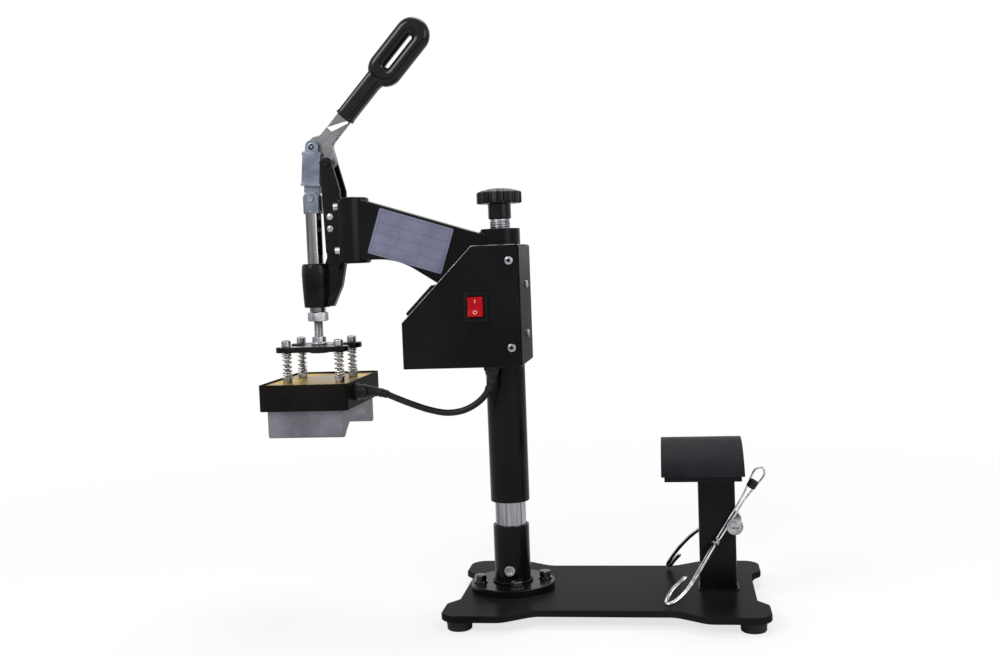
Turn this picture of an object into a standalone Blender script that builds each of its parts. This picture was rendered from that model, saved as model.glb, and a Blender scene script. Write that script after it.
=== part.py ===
"""Cap heat press with a swing-away head, shown with the head turned off its platen.

Metres, +Z up. The head lies towards -X and the cap platen towards +X, where the user
stands. The origin is on the floor at the middle of the footprint, and Y is the depth.
"""
import math

import bmesh
import bpy
from mathutils import Matrix, Vector

# Driving sizes
base_half_length = 0.190
base_half_width = 0.126
base_thickness = 0.008
foot_height = 0.0127
column_to_base = 0.1188
swing_radius = 0.2362
post_radius = 0.01905
post_length = 0.3843
tube_radius = 0.0242
tube_rise = 0.0625
flange_thickness = 0.008
socket_length = 0.0715
post_show = 0.0297
platen_length = 0.096
platen_chord = 0.1507
platen_arc_radius = 0.099
stand_height = 0.1436
head_length = 0.1104
head_depth = 0.162
shroud_height = 0.0323
platen_block_height = 0.045
shroud_overlap = 0.0117
spring_room = 0.0354
plunger_length = 0.1419
handle_rise = 0.0895
link_rise = 0.021
link_length = 0.064
handle_offset = 0.0225
link_offset = 0.005
handle_angle = math.radians(48)
controller_width = 0.096
controller_margin = 0.006
box_height = 0.146
box_drop = 0.020
arm_half_width = 0.018
boss_height = 0.082
boss_rise = 0.046
boss_setback = 0.0442
box_front_share = 0.6068

# Clearances
seat_gap = 0.0003
running_gap = 0.0003
overrun = 0.004
bite = 0.0004

# Places worked out from the driving sizes
column_x = (swing_radius + head_length / 2 - column_to_base - base_half_length) / 2
head_x = column_x - swing_radius
base_x = column_x + column_to_base
platen_x = column_x + swing_radius
deck = foot_height + base_thickness
post_top = deck + post_length
tube_top = post_top + tube_rise
tube_bottom = deck + flange_thickness + socket_length + post_show + 2 * seat_gap
boss_high = tube_top + boss_rise
boss_low = boss_high - boss_height
handle_pin_height = tube_top + handle_rise
link_pin_height = handle_pin_height + link_rise
handle_x = head_x + handle_offset
link_x = head_x + link_offset
plunger_pin_height = link_pin_height - math.sqrt(link_length ** 2 - link_offset ** 2)
plunger_low = plunger_pin_height - plunger_length
box_half_width = controller_width / 2 + controller_margin
box_front = (swing_radius - boss_setback) * box_front_share
box_crown = tube_top - box_drop
box_floor = box_crown - box_height

collection = bpy.context.scene.collection
for old in list(bpy.data.objects):
    bpy.data.objects.remove(old, do_unlink=True)


# Materials
def finish(name, colour, roughness, metallic=0.0):
    """A Principled material with one colour, for telling the pieces apart."""
    made = bpy.data.materials.new(name)
    made.use_nodes = True
    shader = made.node_tree.nodes["Principled BSDF"]
    shader.inputs["Base Color"].default_value = (*colour, 1.0)
    shader.inputs["Roughness"].default_value = roughness
    shader.inputs["Metallic"].default_value = metallic
    return made


black_coat = finish("black_coat", (0.012, 0.012, 0.014), 0.28)
black_cast = finish("black_cast", (0.016, 0.016, 0.018), 0.45)
chrome = finish("chrome", (0.78, 0.78, 0.80), 0.12, 1.0)
bright_steel = finish("bright_steel", (0.62, 0.61, 0.60), 0.30, 1.0)
zinc = finish("zinc", (0.55, 0.56, 0.58), 0.35, 1.0)
gold_zinc = finish("gold_zinc", (0.55, 0.40, 0.16), 0.35, 1.0)
aluminium = finish("aluminium", (0.62, 0.62, 0.63), 0.40, 1.0)
bronze = finish("bronze", (0.50, 0.33, 0.14), 0.35, 1.0)
rubber = finish("rubber", (0.014, 0.014, 0.014), 0.80)
vinyl = finish("vinyl", (0.010, 0.010, 0.011), 0.22)
plastic = finish("plastic", (0.015, 0.015, 0.016), 0.45)
red_plastic = finish("red_plastic", (0.65, 0.02, 0.015), 0.25)
window_plastic = finish("window_plastic", (0.10, 0.005, 0.005), 0.10)
plate_silver = finish("plate_silver", (0.58, 0.58, 0.64), 0.35, 0.6)


# Shape tools
def place(axis, across, up, along):
    """Turn an outline's two values and its depth into a point, for an extrusion axis."""
    if axis == "X":
        return (along, across, up)
    if axis == "Y":
        return (across, along, up)
    return (across, up, along)


def prism(outline, low, high, axis="Z"):
    """Extrude a closed outline from low to high along an axis."""
    mesh = bmesh.new()
    rings = [[mesh.verts.new(place(axis, p, q, h)) for p, q in outline] for h in (low, high)]
    mesh.faces.new(rings[0])
    mesh.faces.new(rings[1])
    for here in range(len(outline)):
        after = (here + 1) % len(outline)
        mesh.faces.new((rings[0][here], rings[0][after], rings[1][after], rings[1][here]))
    bmesh.ops.recalc_face_normals(mesh, faces=mesh.faces)
    return mesh


def rectangle(low, high):
    """The corners of a rectangle from its lowest to its highest corner."""
    return [(low[0], low[1]), (high[0], low[1]), (high[0], high[1]), (low[0], high[1])]


def rounded(corners, steps=4):
    """Round each corner (p, q, radius) of a closed outline with an arc."""
    points = []
    for here, (p, q, radius) in enumerate(corners):
        corner = Vector((p, q))
        before = (Vector(corners[here - 1][:2]) - corner).normalized()
        after = (Vector(corners[(here + 1) % len(corners)][:2]) - corner).normalized()
        if radius == 0:
            points.append(tuple(corner))
            continue
        half = before.angle(after) / 2
        centre = corner + (before + after).normalized() * radius / math.sin(half)
        start = corner + before * radius / math.tan(half) - centre
        stop = corner + after * radius / math.tan(half) - centre
        turn = start.angle_signed(stop)
        for step in range(steps + 1):
            spoke = start.copy()
            spoke.rotate(Matrix.Rotation(-turn * step / steps, 2))
            points.append(tuple(centre + spoke))
    return points


def rounded_rectangle(low, high, radius, steps=4):
    """A rectangle with all four corners rounded alike."""
    return rounded([(p, q, radius) for p, q in rectangle(low, high)], steps)


def turned(profile, centre, axis="Z", steps=24):
    """Turn a closed profile of (radius, height) pairs round an axis through centre.

    A profile that starts and ends on the axis is closed by a flat face at each end.
    """
    mesh = bmesh.new()
    solid = profile[0][0] == 0
    rings = []
    for radius, height in profile[1:-1] if solid else profile:
        turns = [2 * math.pi * step / steps for step in range(steps)]
        rings.append([mesh.verts.new(Vector(centre) + Vector(place(
            axis, radius * math.cos(turn), radius * math.sin(turn), height))) for turn in turns])
    pairs = zip(rings, rings[1:]) if solid else zip(rings, rings[1:] + rings[:1])
    for lower, upper in pairs:
        for step in range(steps):
            after = (step + 1) % steps
            mesh.faces.new((lower[step], lower[after], upper[after], upper[step]))
    if solid:
        mesh.faces.new(rings[0])
        mesh.faces.new(rings[-1])
    bmesh.ops.recalc_face_normals(mesh, faces=mesh.faces)
    return mesh


def rod(radius, low, high, centre, axis="Z", steps=24, edge=0):
    """A plain cylinder along an axis, with its two rims chamfered by edge."""
    profile = [(0, low), (radius - edge, low), (radius, low + edge),
               (radius, high - edge), (radius - edge, high), (0, high)]
    if edge == 0:
        profile = [(0, low), (radius, low), (radius, high), (0, high)]
    return turned(profile, centre, axis, steps)


def pipe(outer, inner, low, high, centre, axis="Z", steps=24):
    """A plain tube along an axis, open at both ends."""
    return turned([(inner, low), (outer, low), (outer, high), (inner, high)], centre, axis, steps)


def smooth(points, per_span=3):
    """A smooth curve through hand-chosen points, by Catmull-Rom spans."""
    spots = [Vector(point) for point in points]
    spots = [2 * spots[0] - spots[1]] + spots + [2 * spots[-1] - spots[-2]]
    curve = []
    for a, b, c, d in zip(spots, spots[1:], spots[2:], spots[3:]):
        for step in range(per_span):
            t = step / per_span
            curve.append(0.5 * (2 * b + (c - a) * t + (2 * a - 5 * b + 4 * c - d) * t ** 2
                                + (3 * b - a - 3 * c + d) * t ** 3))
    return curve + [spots[-2]]


def swept(path, radius, sides=6, closed=False):
    """Carry a circle along a path, turning it as little as the path allows."""
    mesh = bmesh.new()
    path = [Vector(point) for point in path]
    count = len(path)
    rings = []
    side = None
    for here in range(count):
        before = path[here - 1] if closed or here else path[here]
        after = path[(here + 1) % count] if closed or here < count - 1 else path[here]
        along = (after - before).normalized()
        if side is None:
            side = along.orthogonal().normalized()
        side = (side - along * side.dot(along)).normalized()
        other = along.cross(side)
        turns = [2 * math.pi * step / sides for step in range(sides)]
        rings.append([mesh.verts.new(path[here] + radius * (math.cos(turn) * side
                                                            + math.sin(turn) * other))
                      for turn in turns])
    pairs = list(zip(rings, rings[1:])) + ([(rings[-1], rings[0])] if closed else [])
    for lower, upper in pairs:
        for step in range(sides):
            after = (step + 1) % sides
            mesh.faces.new((lower[step], lower[after], upper[after], upper[step]))
    if not closed:
        mesh.faces.new(rings[0])
        mesh.faces.new(rings[-1])
    bmesh.ops.recalc_face_normals(mesh, faces=mesh.faces)
    return mesh


def together(shapes):
    """Gather separate solids into one mesh."""
    whole = bmesh.new()
    for shape in shapes:
        copy = bpy.data.meshes.new("gathered")
        shape.to_mesh(copy)
        shape.free()
        whole.from_mesh(copy)
        bpy.data.meshes.remove(copy)
    return whole


def turn_about(mesh, pivot, angle, axis="Y"):
    """Turn a shape about an axis through pivot."""
    bmesh.ops.rotate(mesh, verts=mesh.verts, cent=pivot, matrix=Matrix.Rotation(angle, 3, axis))
    return mesh


axis_spots = {}


def spot_of(carrier):
    """Where a carrier's axis stands, and the origin for pieces without one."""
    return axis_spots[carrier.name] if carrier else Vector((0, 0, 0))


def joint_empty(name, spot, parent=None):
    """An empty on a joint's axis, which carries the pieces that move with it."""
    empty = bpy.data.objects.new(name, None)
    collection.objects.link(empty)
    empty.parent = parent
    empty.location = Vector(spot) - spot_of(parent)
    axis_spots[name] = Vector(spot)
    return empty


def piece(name, shape, material, carrier=None, sharp=35):
    """Make one named sub-part from a shape, hung from the empty of its joint."""
    data = bpy.data.meshes.new(name)
    bmesh.ops.translate(shape, verts=shape.verts, vec=-spot_of(carrier))
    shape.to_mesh(data)
    shape.free()
    data.materials.append(material)
    data.shade_smooth()
    data.set_sharp_from_angle(angle=math.radians(sharp))
    made = bpy.data.objects.new(name, data)
    collection.objects.link(made)
    made.parent = carrier
    return made


def tool(shape, owner, operation):
    """Give a sub-part a Boolean, with its cutter kept hidden as a wire shape."""
    data = bpy.data.meshes.new(owner.name + "_tool")
    bmesh.ops.translate(shape, verts=shape.verts, vec=-spot_of(owner.parent))
    shape.to_mesh(data)
    shape.free()
    cutter = bpy.data.objects.new(owner.name + "_tool", data)
    collection.objects.link(cutter)
    cutter.parent = owner.parent
    cutter.hide_render = True
    cutter.display_type = "WIRE"
    change = owner.modifiers.new(operation.lower(), "BOOLEAN")
    change.operation = operation
    change.solver = "EXACT"
    change.object = cutter


def cut(owner, shape):
    """Take a shape away from a sub-part."""
    tool(shape, owner, "DIFFERENCE")


def weld(owner, shape):
    """Join a shape to a sub-part as one solid."""
    tool(shape, owner, "UNION")


def soften(owner, width, segments=2, angle=40):
    """Round the sharp edges of a sub-part."""
    bevel = owner.modifiers.new("soften", "BEVEL")
    bevel.width = width
    bevel.segments = segments
    bevel.limit_method = "ANGLE"
    bevel.angle_limit = math.radians(angle)


# Joint axes, from the column outwards
bail_axis_reach = 0.0373
bail_axis_rise = 0.0793
rocker_offset_share = 0.2163
rocker_rise = 0.0728
rocker_depth = 0.0025
bail_axis_height = deck + bail_axis_rise
rocker_offset = box_front * rocker_offset_share
rocker_height = box_floor + rocker_rise
rocker_spot = (column_x - rocker_offset, -box_half_width - rocker_depth, rocker_height)

swing = joint_empty("swing_axis", (column_x, 0, post_top))
knob_axis = joint_empty("knob_axis", (column_x, 0, tube_top), swing)
arm = joint_empty("arm_slide", (column_x, 0, tube_top), swing)
handle = joint_empty("handle_axis", (handle_x, 0, handle_pin_height), arm)
link = joint_empty("link_axis", (link_x, 0, link_pin_height), handle)
plunger = joint_empty("plunger_slide", (head_x, 0, plunger_pin_height), arm)
head = joint_empty("head_slide", (head_x, 0, plunger_low), plunger)
rocker = joint_empty("rocker_axis", rocker_spot, arm)
bail = joint_empty("bail_axis", (platen_x + bail_axis_reach, 0, bail_axis_height))

# Base plate on its four rubber feet
base_edge_radius = 0.020
waist_inset = 0.025
waist_share = 0.43
waist_end_share = 0.62
waist_round = 0.025
side_inset = 0.013
side_start_share = 0.58
side_end_share = 0.44
side_round = 0.012
foot_radius = 0.0155
foot_taper = 0.001
foot_inset = 0.021
foot_edge = 0.0015


def base_outline():
    """The plate's outline: four full corners with a shallow waist along each side."""
    length = base_half_length
    width = base_half_width
    quarter = [(length - side_inset, width * side_end_share, side_round),
               (length, width * side_start_share, side_round),
               (length, width, base_edge_radius),
               (length * waist_end_share, width, waist_round),
               (length * waist_share, width - waist_inset, waist_round)]
    half = quarter + [(-p, q, r) for p, q, r in reversed(quarter)]
    whole = half + [(-p, -q, r) for p, q, r in half]
    return [(base_x + p, q) for p, q in rounded(whole, 3)]


def foot_places():
    """The middle of each foot, under the plate's corners."""
    reach = base_half_length - foot_inset
    side = base_half_width - foot_inset
    return [(base_x + sx * reach, sy * side) for sx in (-1, 1) for sy in (-1, 1)]


def make_base():
    """The pressed plate and its feet."""
    plate = piece("base_plate", prism(base_outline(), foot_height, deck), black_coat)
    soften(plate, foot_edge, 1)
    profile = [(0, 0), (foot_radius - foot_taper - foot_edge, 0), (foot_radius - foot_taper, foot_edge),
               (foot_radius, foot_height - seat_gap), (0, foot_height - seat_gap)]
    for number, (x, y) in enumerate(foot_places(), 1):
        piece("rubber_foot_%d" % number, turned(profile, (x, y, 0), steps=20), rubber)


make_base()

# Column: a bolted flange with a socket tube, and the chrome post clamped in it
flange_radius = 0.052
flange_edge = 0.0012
flange_bolt_circle = 0.0405
flange_bolt_turn = math.radians(14)
flange_bolt_radius = 0.004
bolt_washer_radius = 0.0085
bolt_washer_thickness = 0.0016
bolt_head_radius = 0.0073
bolt_head_height = 0.0085
bolt_dome = 0.0012
socket_radius = 0.0223
post_wall = 0.0045
post_rise = 0.0012
clamp_screw_height = 0.018
clamp_screw_radius = 0.0035
clamp_head_radius = 0.0065
clamp_head_length = 0.006


def bolt_profile(shank, shank_depth, washer, washer_height, head_width, head_height, dome):
    """Half outline of a bolt with a washer: shank below zero, washer and head above."""
    head_top_edge = washer_height + head_height
    return [(0, -shank_depth), (shank, -shank_depth), (shank, -bite), (washer, -bite),
            (washer, washer_height), (head_width, washer_height),
            (head_width, head_top_edge - dome), (head_width - dome, head_top_edge),
            (0, head_top_edge)]


def flange_bolt_places():
    """Four places on the bolt circle."""
    turns = [flange_bolt_turn + quarter * math.pi / 2 for quarter in range(4)]
    return [(column_x + flange_bolt_circle * math.cos(turn),
             flange_bolt_circle * math.sin(turn)) for turn in turns]


def make_column():
    """Flange, bolts, socket tube, its clamp screw, and the post."""
    centre = (column_x, 0, 0)
    low = deck + seat_gap
    flange_top = low + flange_thickness
    profile = [(post_radius + seat_gap, low), (flange_radius, low),
               (flange_radius, flange_top - flange_edge), (flange_radius - flange_edge, flange_top),
               (post_radius + seat_gap, flange_top)]
    flange = piece("column_flange", turned(profile, centre, steps=32), black_coat)
    shank_depth = flange_thickness + seat_gap + base_thickness / 2
    holes = [rod(flange_bolt_radius + seat_gap, flange_top - shank_depth - seat_gap,
                 flange_top + overrun, (x, y, 0), steps=8) for x, y in flange_bolt_places()]
    cut(bpy.data.objects["base_plate"], together(holes))
    profile = bolt_profile(flange_bolt_radius, shank_depth, bolt_washer_radius,
                           bolt_washer_thickness, bolt_head_radius, bolt_head_height, bolt_dome)
    bolts = [turned(profile, (x, y, flange_top), steps=8) for x, y in flange_bolt_places()]
    weld(flange, together(bolts))

    socket_low = flange_top + seat_gap
    socket = piece("column_socket", pipe(socket_radius, post_radius + seat_gap, socket_low,
                                         socket_low + socket_length, centre), black_coat)
    screw_z = flange_top + clamp_screw_height
    face = -socket_radius
    screw = [(0, -post_radius - 2 * bite), (clamp_head_radius, -post_radius - 2 * bite),
             (clamp_head_radius, face - clamp_head_length), (0, face - clamp_head_length)]
    weld(socket, turned(screw, (column_x, 0, screw_z), "Y", 6))
    cut(socket, rod(clamp_screw_radius, face - clamp_head_length - overrun,
                    face - clamp_head_length / 3, (column_x, 0, screw_z), "Y", 6))
    piece("column_post", pipe(post_radius, post_radius - post_wall, low + post_rise - seat_gap,
                              post_top, centre), chrome)


make_column()

# Stand for the cap: a rectangular tube on the base with the curved platen on top
stand_offset = 0.0168
stand_length = 0.044
stand_width = 0.028
stand_wall = 0.003
stand_round = 0.003
platen_base_thickness = 0.006
platen_inset = 0.0036
pad_thickness = 0.003
platen_wall = 0.005
rib_thickness = 0.004
rib_inner_share = 0.103
platen_floor = deck + stand_height
platen_edge_height = platen_floor + platen_base_thickness
stand_x = platen_x + stand_offset
bail_shaft_radius = 0.004
arc_centre_height = platen_edge_height - math.sqrt(platen_arc_radius ** 2 - (platen_chord / 2) ** 2)


def arc_band(outer, inner, base_height, steps=20):
    """A curved band about the platen's arc centre, cut off level at base_height."""
    drop = base_height - arc_centre_height
    points = []
    for radius, order in ((outer, 1), (inner, -1)):
        spread = math.acos(drop / radius)
        turns = [spread * (2 * step / steps - 1) * order for step in range(steps + 1)]
        points += [(radius * math.sin(turn), arc_centre_height + radius * math.cos(turn))
                   for turn in turns]
    return points


def make_stand():
    """Tube, platen base with its two ribs, bent platen and its pad."""
    low = (stand_x - stand_length / 2, -stand_width / 2)
    high = (stand_x + stand_length / 2, stand_width / 2)
    stand = piece("stand_post", prism(rounded_rectangle(low, high, stand_round, 3),
                                      deck + seat_gap, platen_floor - 2 * seat_gap), black_coat)
    inner_low = (low[0] + stand_wall, low[1] + stand_wall)
    inner_high = (high[0] - stand_wall, high[1] - stand_wall)
    cut(stand, prism(rectangle(inner_low, inner_high), deck - overrun, platen_floor + overrun))
    cut(stand, rod(bail_shaft_radius + running_gap, -stand_width, stand_width,
                   (platen_x + bail_axis_reach, 0, bail_axis_height), "Y", 16))

    half = platen_length / 2 - platen_inset
    plate_radius = platen_arc_radius - pad_thickness - seat_gap
    inner_radius = plate_radius - platen_wall
    chord = math.sqrt(plate_radius ** 2 - (platen_edge_height - arc_centre_height) ** 2)
    floor_plate = prism(rectangle((platen_x - half, -chord), (platen_x + half, chord)),
                        platen_floor - seat_gap, platen_edge_height - seat_gap)
    base = piece("platen_base", floor_plate, black_coat)
    rib_radius = inner_radius - seat_gap
    rib_foot = platen_edge_height - overrun / 2
    rib_drop = rib_foot - arc_centre_height
    rib_inner = rib_drop + (rib_radius - rib_drop) * rib_inner_share
    rib = arc_band(rib_radius, rib_inner, rib_foot, 12)
    for side in (-1, 1):
        outer = platen_x + side * half * 0.94
        ends = sorted((outer, outer - side * rib_thickness))
        weld(base, prism(rib, ends[0], ends[1], "X"))
    band = arc_band(plate_radius, inner_radius, platen_edge_height)
    piece("cap_platen", prism(band, platen_x - half, platen_x + half, "X"), black_coat)
    pad = arc_band(platen_arc_radius, platen_arc_radius - pad_thickness, platen_edge_height)
    piece("platen_pad", prism(pad, platen_x - platen_length / 2, platen_x + platen_length / 2,
                              "X"), rubber)


make_stand()

# Cap bail: two chrome rods on a shaft through the stand, hooked under the platen's back
rod_radius = 0.0024
loop_wire_radius = 0.0012
hub_radius = 0.0098
hub_flange = 0.0022
hub_groove = 0.0054
hub_core = 0.0056
hub_head_radius = 0.0067
hub_head_height = 0.005
bail_reach = 0.083
bail_spread = 0.088
bail_drop = 0.0745
loop_rise = 0.100
loop_half_gap = 0.0019
loop_eye_half = 0.0062
collar_radius = 0.0046
collar_length = 0.0075
tip_radius = 0.0058
tip_length = 0.011

hub_side = stand_width / 2 + 2 * running_gap + hub_flange + hub_groove / 2

near_rod_shares = [(0.26, 0.0, 0.228), (0.477, 0.358, 0.537), (0.676, 0.708, 0.805),
                   (0.827, 0.912, 0.94), (0.947, 1.0, 1.0), (1.0, 0.956, 1.0),
                   (0.983, 0.854, 0.953), (0.90, 0.737, 0.832), (0.706, 0.621, 0.658)]
far_rod_shares = [(0.14, 0.0, -0.075), (0.29, 0.03, 0.0), (0.456, 0.088, 0.148),
                  (0.634, 0.255, 0.336), (0.80, 0.486, 0.577), (0.915, 0.743, 0.80),
                  (0.975, 0.91, 0.94), (0.99, 0.987, 1.0), (0.945, 0.91, 0.985),
                  (0.88, 0.743, 0.86), (0.79, 0.621, 0.725)]


def bail_point(reach, spread, drop, side):
    """A place on the bail, from its hub towards the column, sideways and down."""
    out = hub_side + spread * (bail_spread - hub_side)
    return Vector((platen_x + bail_axis_reach - reach * bail_reach, side * out,
                   bail_axis_height - drop * bail_drop))


def bail_loop_path(collar, along, across):
    """A hairpin of thin wire: two close strands that open into an eye at the top."""
    reach_shares = (0.0, 0.35, 0.62, 0.76, 0.88, 0.97)
    gap_shares = (0.0, 0.0, 0.12, 0.55, 0.95, 1.0)
    strand = [(loop_rise * r, loop_half_gap + (loop_eye_half - loop_half_gap) * g)
              for r, g in zip(reach_shares, gap_shares)]
    top = (loop_rise + loop_eye_half * 0.55, 0)
    whole = strand + [top] + [(r, -g) for r, g in reversed(strand)]
    return [collar + along * r + across * g for r, g in whole]


def make_bail():
    """Shaft with grooved hubs, the two rods, collar, thin loop and its dipped tip."""
    start = stand_width / 2 + 2 * running_gap
    flange_out = start + hub_flange
    groove_out = flange_out + hub_groove
    flange_end = groove_out + hub_flange * 0.7
    head_end = flange_end + hub_head_height
    half = [(bail_shaft_radius, start), (hub_radius, start), (hub_radius, flange_out),
            (hub_core, flange_out), (hub_core, groove_out), (hub_radius, groove_out),
            (hub_radius, flange_end), (hub_head_radius, flange_end),
            (hub_head_radius, head_end), (0, head_end)]
    profile = [(r, -y) for r, y in reversed(half)] + half
    spot = (platen_x + bail_axis_reach, 0, bail_axis_height)
    piece("bail_shaft", turned(profile, spot, "Y", 16), chrome, bail)

    near = smooth([bail_point(*shares, -1) for shares in near_rod_shares])
    seat = bail_point(0, 0, 0, 1) + Vector((0, 0, hub_core + rod_radius + seat_gap))
    far = smooth([seat] + [bail_point(*shares, 1) for shares in far_rod_shares])
    rod_near = piece("bail_rod_near", swept(near, rod_radius), chrome, bail)
    piece("bail_rod_far", swept(far, rod_radius), chrome, bail)

    collar_spot = near[0]
    collar = rod(collar_radius, -collar_length / 2, collar_length / 2, (0, 0, 0), "Z", 12,
                 collar_radius / 5)
    aim = (near[0] - near[1]).normalized()
    bmesh.ops.rotate(collar, verts=collar.verts, cent=(0, 0, 0),
                     matrix=Vector((0, 0, 1)).rotation_difference(aim).to_matrix())
    bmesh.ops.translate(collar, verts=collar.verts, vec=collar_spot - aim * collar_length / 2)
    weld(rod_near, collar)
    wire_start = collar_spot + aim * (2 * seat_gap + loop_wire_radius)
    wire_start.y = collar_spot.y
    to_hub = Vector(spot) - wire_start
    miss = hub_core + seat_gap + loop_wire_radius + loop_half_gap
    lift = math.atan2(to_hub.z, to_hub.x) + math.asin(miss / math.hypot(to_hub.x, to_hub.z))
    pull = Vector((math.cos(lift), 0, math.sin(lift)))
    across = Vector((pull.z, 0, -pull.x))
    loop = smooth(bail_loop_path(wire_start, pull, across), 2)
    piece("bail_loop", swept(loop, loop_wire_radius, 5, closed=True), chrome, bail)
    tip_low = loop_rise * 0.74
    tip = rod(tip_radius, 0, tip_length, (0, 0, 0), steps=12, edge=tip_radius / 3)
    bmesh.ops.rotate(tip, verts=tip.verts, cent=(0, 0, 0),
                     matrix=Vector((0, 0, 1)).rotation_difference(pull).to_matrix())
    bmesh.ops.translate(tip, verts=tip.verts, vec=wire_start + pull * tip_low)
    made = piece("bail_tip", tip, rubber, bail)
    cut(made, swept(loop, loop_wire_radius + seat_gap, 5, closed=True))


make_bail()

# Pressure screw: the knob turns it against the thrust cap, and the arm climbs on it
screw_radius = 0.01275
screw_flat = 0.0015
thrust_thickness = 0.009
thrust_spigot = 0.012
thrust_radius = 0.0186
knob_radius = 0.0279
knob_thickness = 0.0146
knob_dome = 0.0047
knob_dome_radius = 0.0225
flute_depth = 0.0032
flute_count = 14
stem_radius = 0.0141
stem_lift = 0.0115
stem_length = 0.019
stem_edge = 0.002
knob_bore = 0.0085
stem_low = tube_top + stem_lift
knob_low = stem_low + stem_length
knob_high = knob_low + knob_thickness


def fluted_outline():
    """A circle with evenly spaced round flutes, five points to each."""
    count = flute_count * 5
    points = []
    for step in range(count):
        turn = 2 * math.pi * step / count
        dip = flute_depth * (0.5 - 0.5 * math.cos(flute_count * turn)) ** 1.5
        radius = knob_radius - dip
        points.append((column_x + radius * math.cos(turn), radius * math.sin(turn)))
    return points


def make_knob():
    """Thrust cap on the post, screw, and the moulded knob pressed on the screw."""
    centre = (column_x, 0, 0)
    spigot_radius = post_radius - post_wall - seat_gap
    cap_top = post_top + seat_gap + thrust_thickness
    cap = [(0, post_top - thrust_spigot), (spigot_radius, post_top - thrust_spigot),
           (spigot_radius, post_top + seat_gap), (thrust_radius, post_top + seat_gap),
           (thrust_radius, cap_top), (0, cap_top)]
    piece("thrust_cap", turned(cap, centre, steps=24), bright_steel, swing)

    bore_top = stem_low + (knob_high - stem_low) / 2
    screw = [(0, cap_top + running_gap), (screw_radius - screw_flat, cap_top + running_gap),
             (screw_radius, cap_top + running_gap + screw_flat), (screw_radius, stem_low - seat_gap),
             (knob_bore, stem_low - seat_gap), (knob_bore, bore_top), (0, bore_top)]
    piece("pressure_screw", turned(screw, centre, steps=24), bright_steel, knob_axis)

    knob = piece("pressure_knob", prism(fluted_outline(), knob_low, knob_high), plastic, knob_axis, 25)
    stem = [(0, stem_low), (stem_radius - stem_edge, stem_low), (stem_radius, stem_low + stem_edge),
            (stem_radius, knob_low + stem_edge), (0, knob_low + stem_edge)]
    weld(knob, turned(stem, centre, steps=24))
    dome = [(0, knob_high - stem_edge)]
    for step in range(6):
        turn = math.pi / 2 * (1 - step / 5)
        dome.append((knob_dome_radius * math.sin(turn), knob_high + knob_dome * math.cos(turn)))
    dome.insert(1, (knob_dome_radius, knob_high - stem_edge))
    weld(knob, turned(dome, centre, steps=24))
    cut(knob, rod(knob_bore + seat_gap, stem_low - overrun, bore_top + seat_gap, centre, steps=24))


make_knob()

# Swing arm: tube on two bushes, with the welded beam and the half-round end block
bush_length = 0.022
bush_edge_inset = 0.004
upper_bush_drop = 0.0133
bush_wall = 0.0018
plug_length = 0.018
beam_root_share = 0.7
boss_radius = 0.027
boss_edge = 0.003
beam_top_slope = 0.324
beam_root_drop = 0.0047
beam_end_rise = 0.0037
beam_curve_radius = 0.085
beam_curve_setback = 0.040
beam_root_depth = 0.1036
beam_wall = 0.004
beam_edge = 0.003
plate_width_share = 0.5026
plate_height_share = 0.2995
plate_thickness = 0.0008
plate_reach_share = 0.7615
plate_margin = 0.0037
boss_reach = swing_radius - boss_setback
beam_curve_start = boss_reach - beam_curve_setback
plate_width = boss_reach * plate_width_share
plate_height = boss_reach * plate_height_share
plate_reach = boss_reach * plate_reach_share
beam_root_top = tube_top - beam_root_drop
beam_end_low = boss_low + beam_end_rise


def arm_point(reach, height):
    """A place on the arm, measured out from the column's axis."""
    return (column_x - reach, height)


def beam_top(reach):
    """Height of the beam's straight top edge."""
    return beam_root_top + beam_top_slope * (reach - tube_radius)


def beam_outline(inset, root, end):
    """The beam from the side: straight sloping top, and a hollow curve beneath."""
    root_low = tube_top - beam_root_depth
    run = beam_curve_start - tube_radius * beam_root_share
    rise = beam_end_low - beam_curve_radius - root_low
    lean = math.atan2(rise, run) + math.asin(beam_curve_radius / math.hypot(run, rise))
    points = [arm_point(root, root_low + (root - tube_radius * beam_root_share) * math.tan(lean) + inset)]
    for step in range(6):
        turn = lean * (1 - step / 5)
        drop = beam_curve_radius * (1 - math.cos(turn))
        points.append(arm_point(beam_curve_start - beam_curve_radius * math.sin(turn),
                                beam_end_low - drop + inset))
    points.append(arm_point(end, beam_end_low + inset))
    points.append(arm_point(end, beam_top(end) - inset))
    points.append(arm_point(root, beam_top(root) - inset))
    return points


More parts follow.
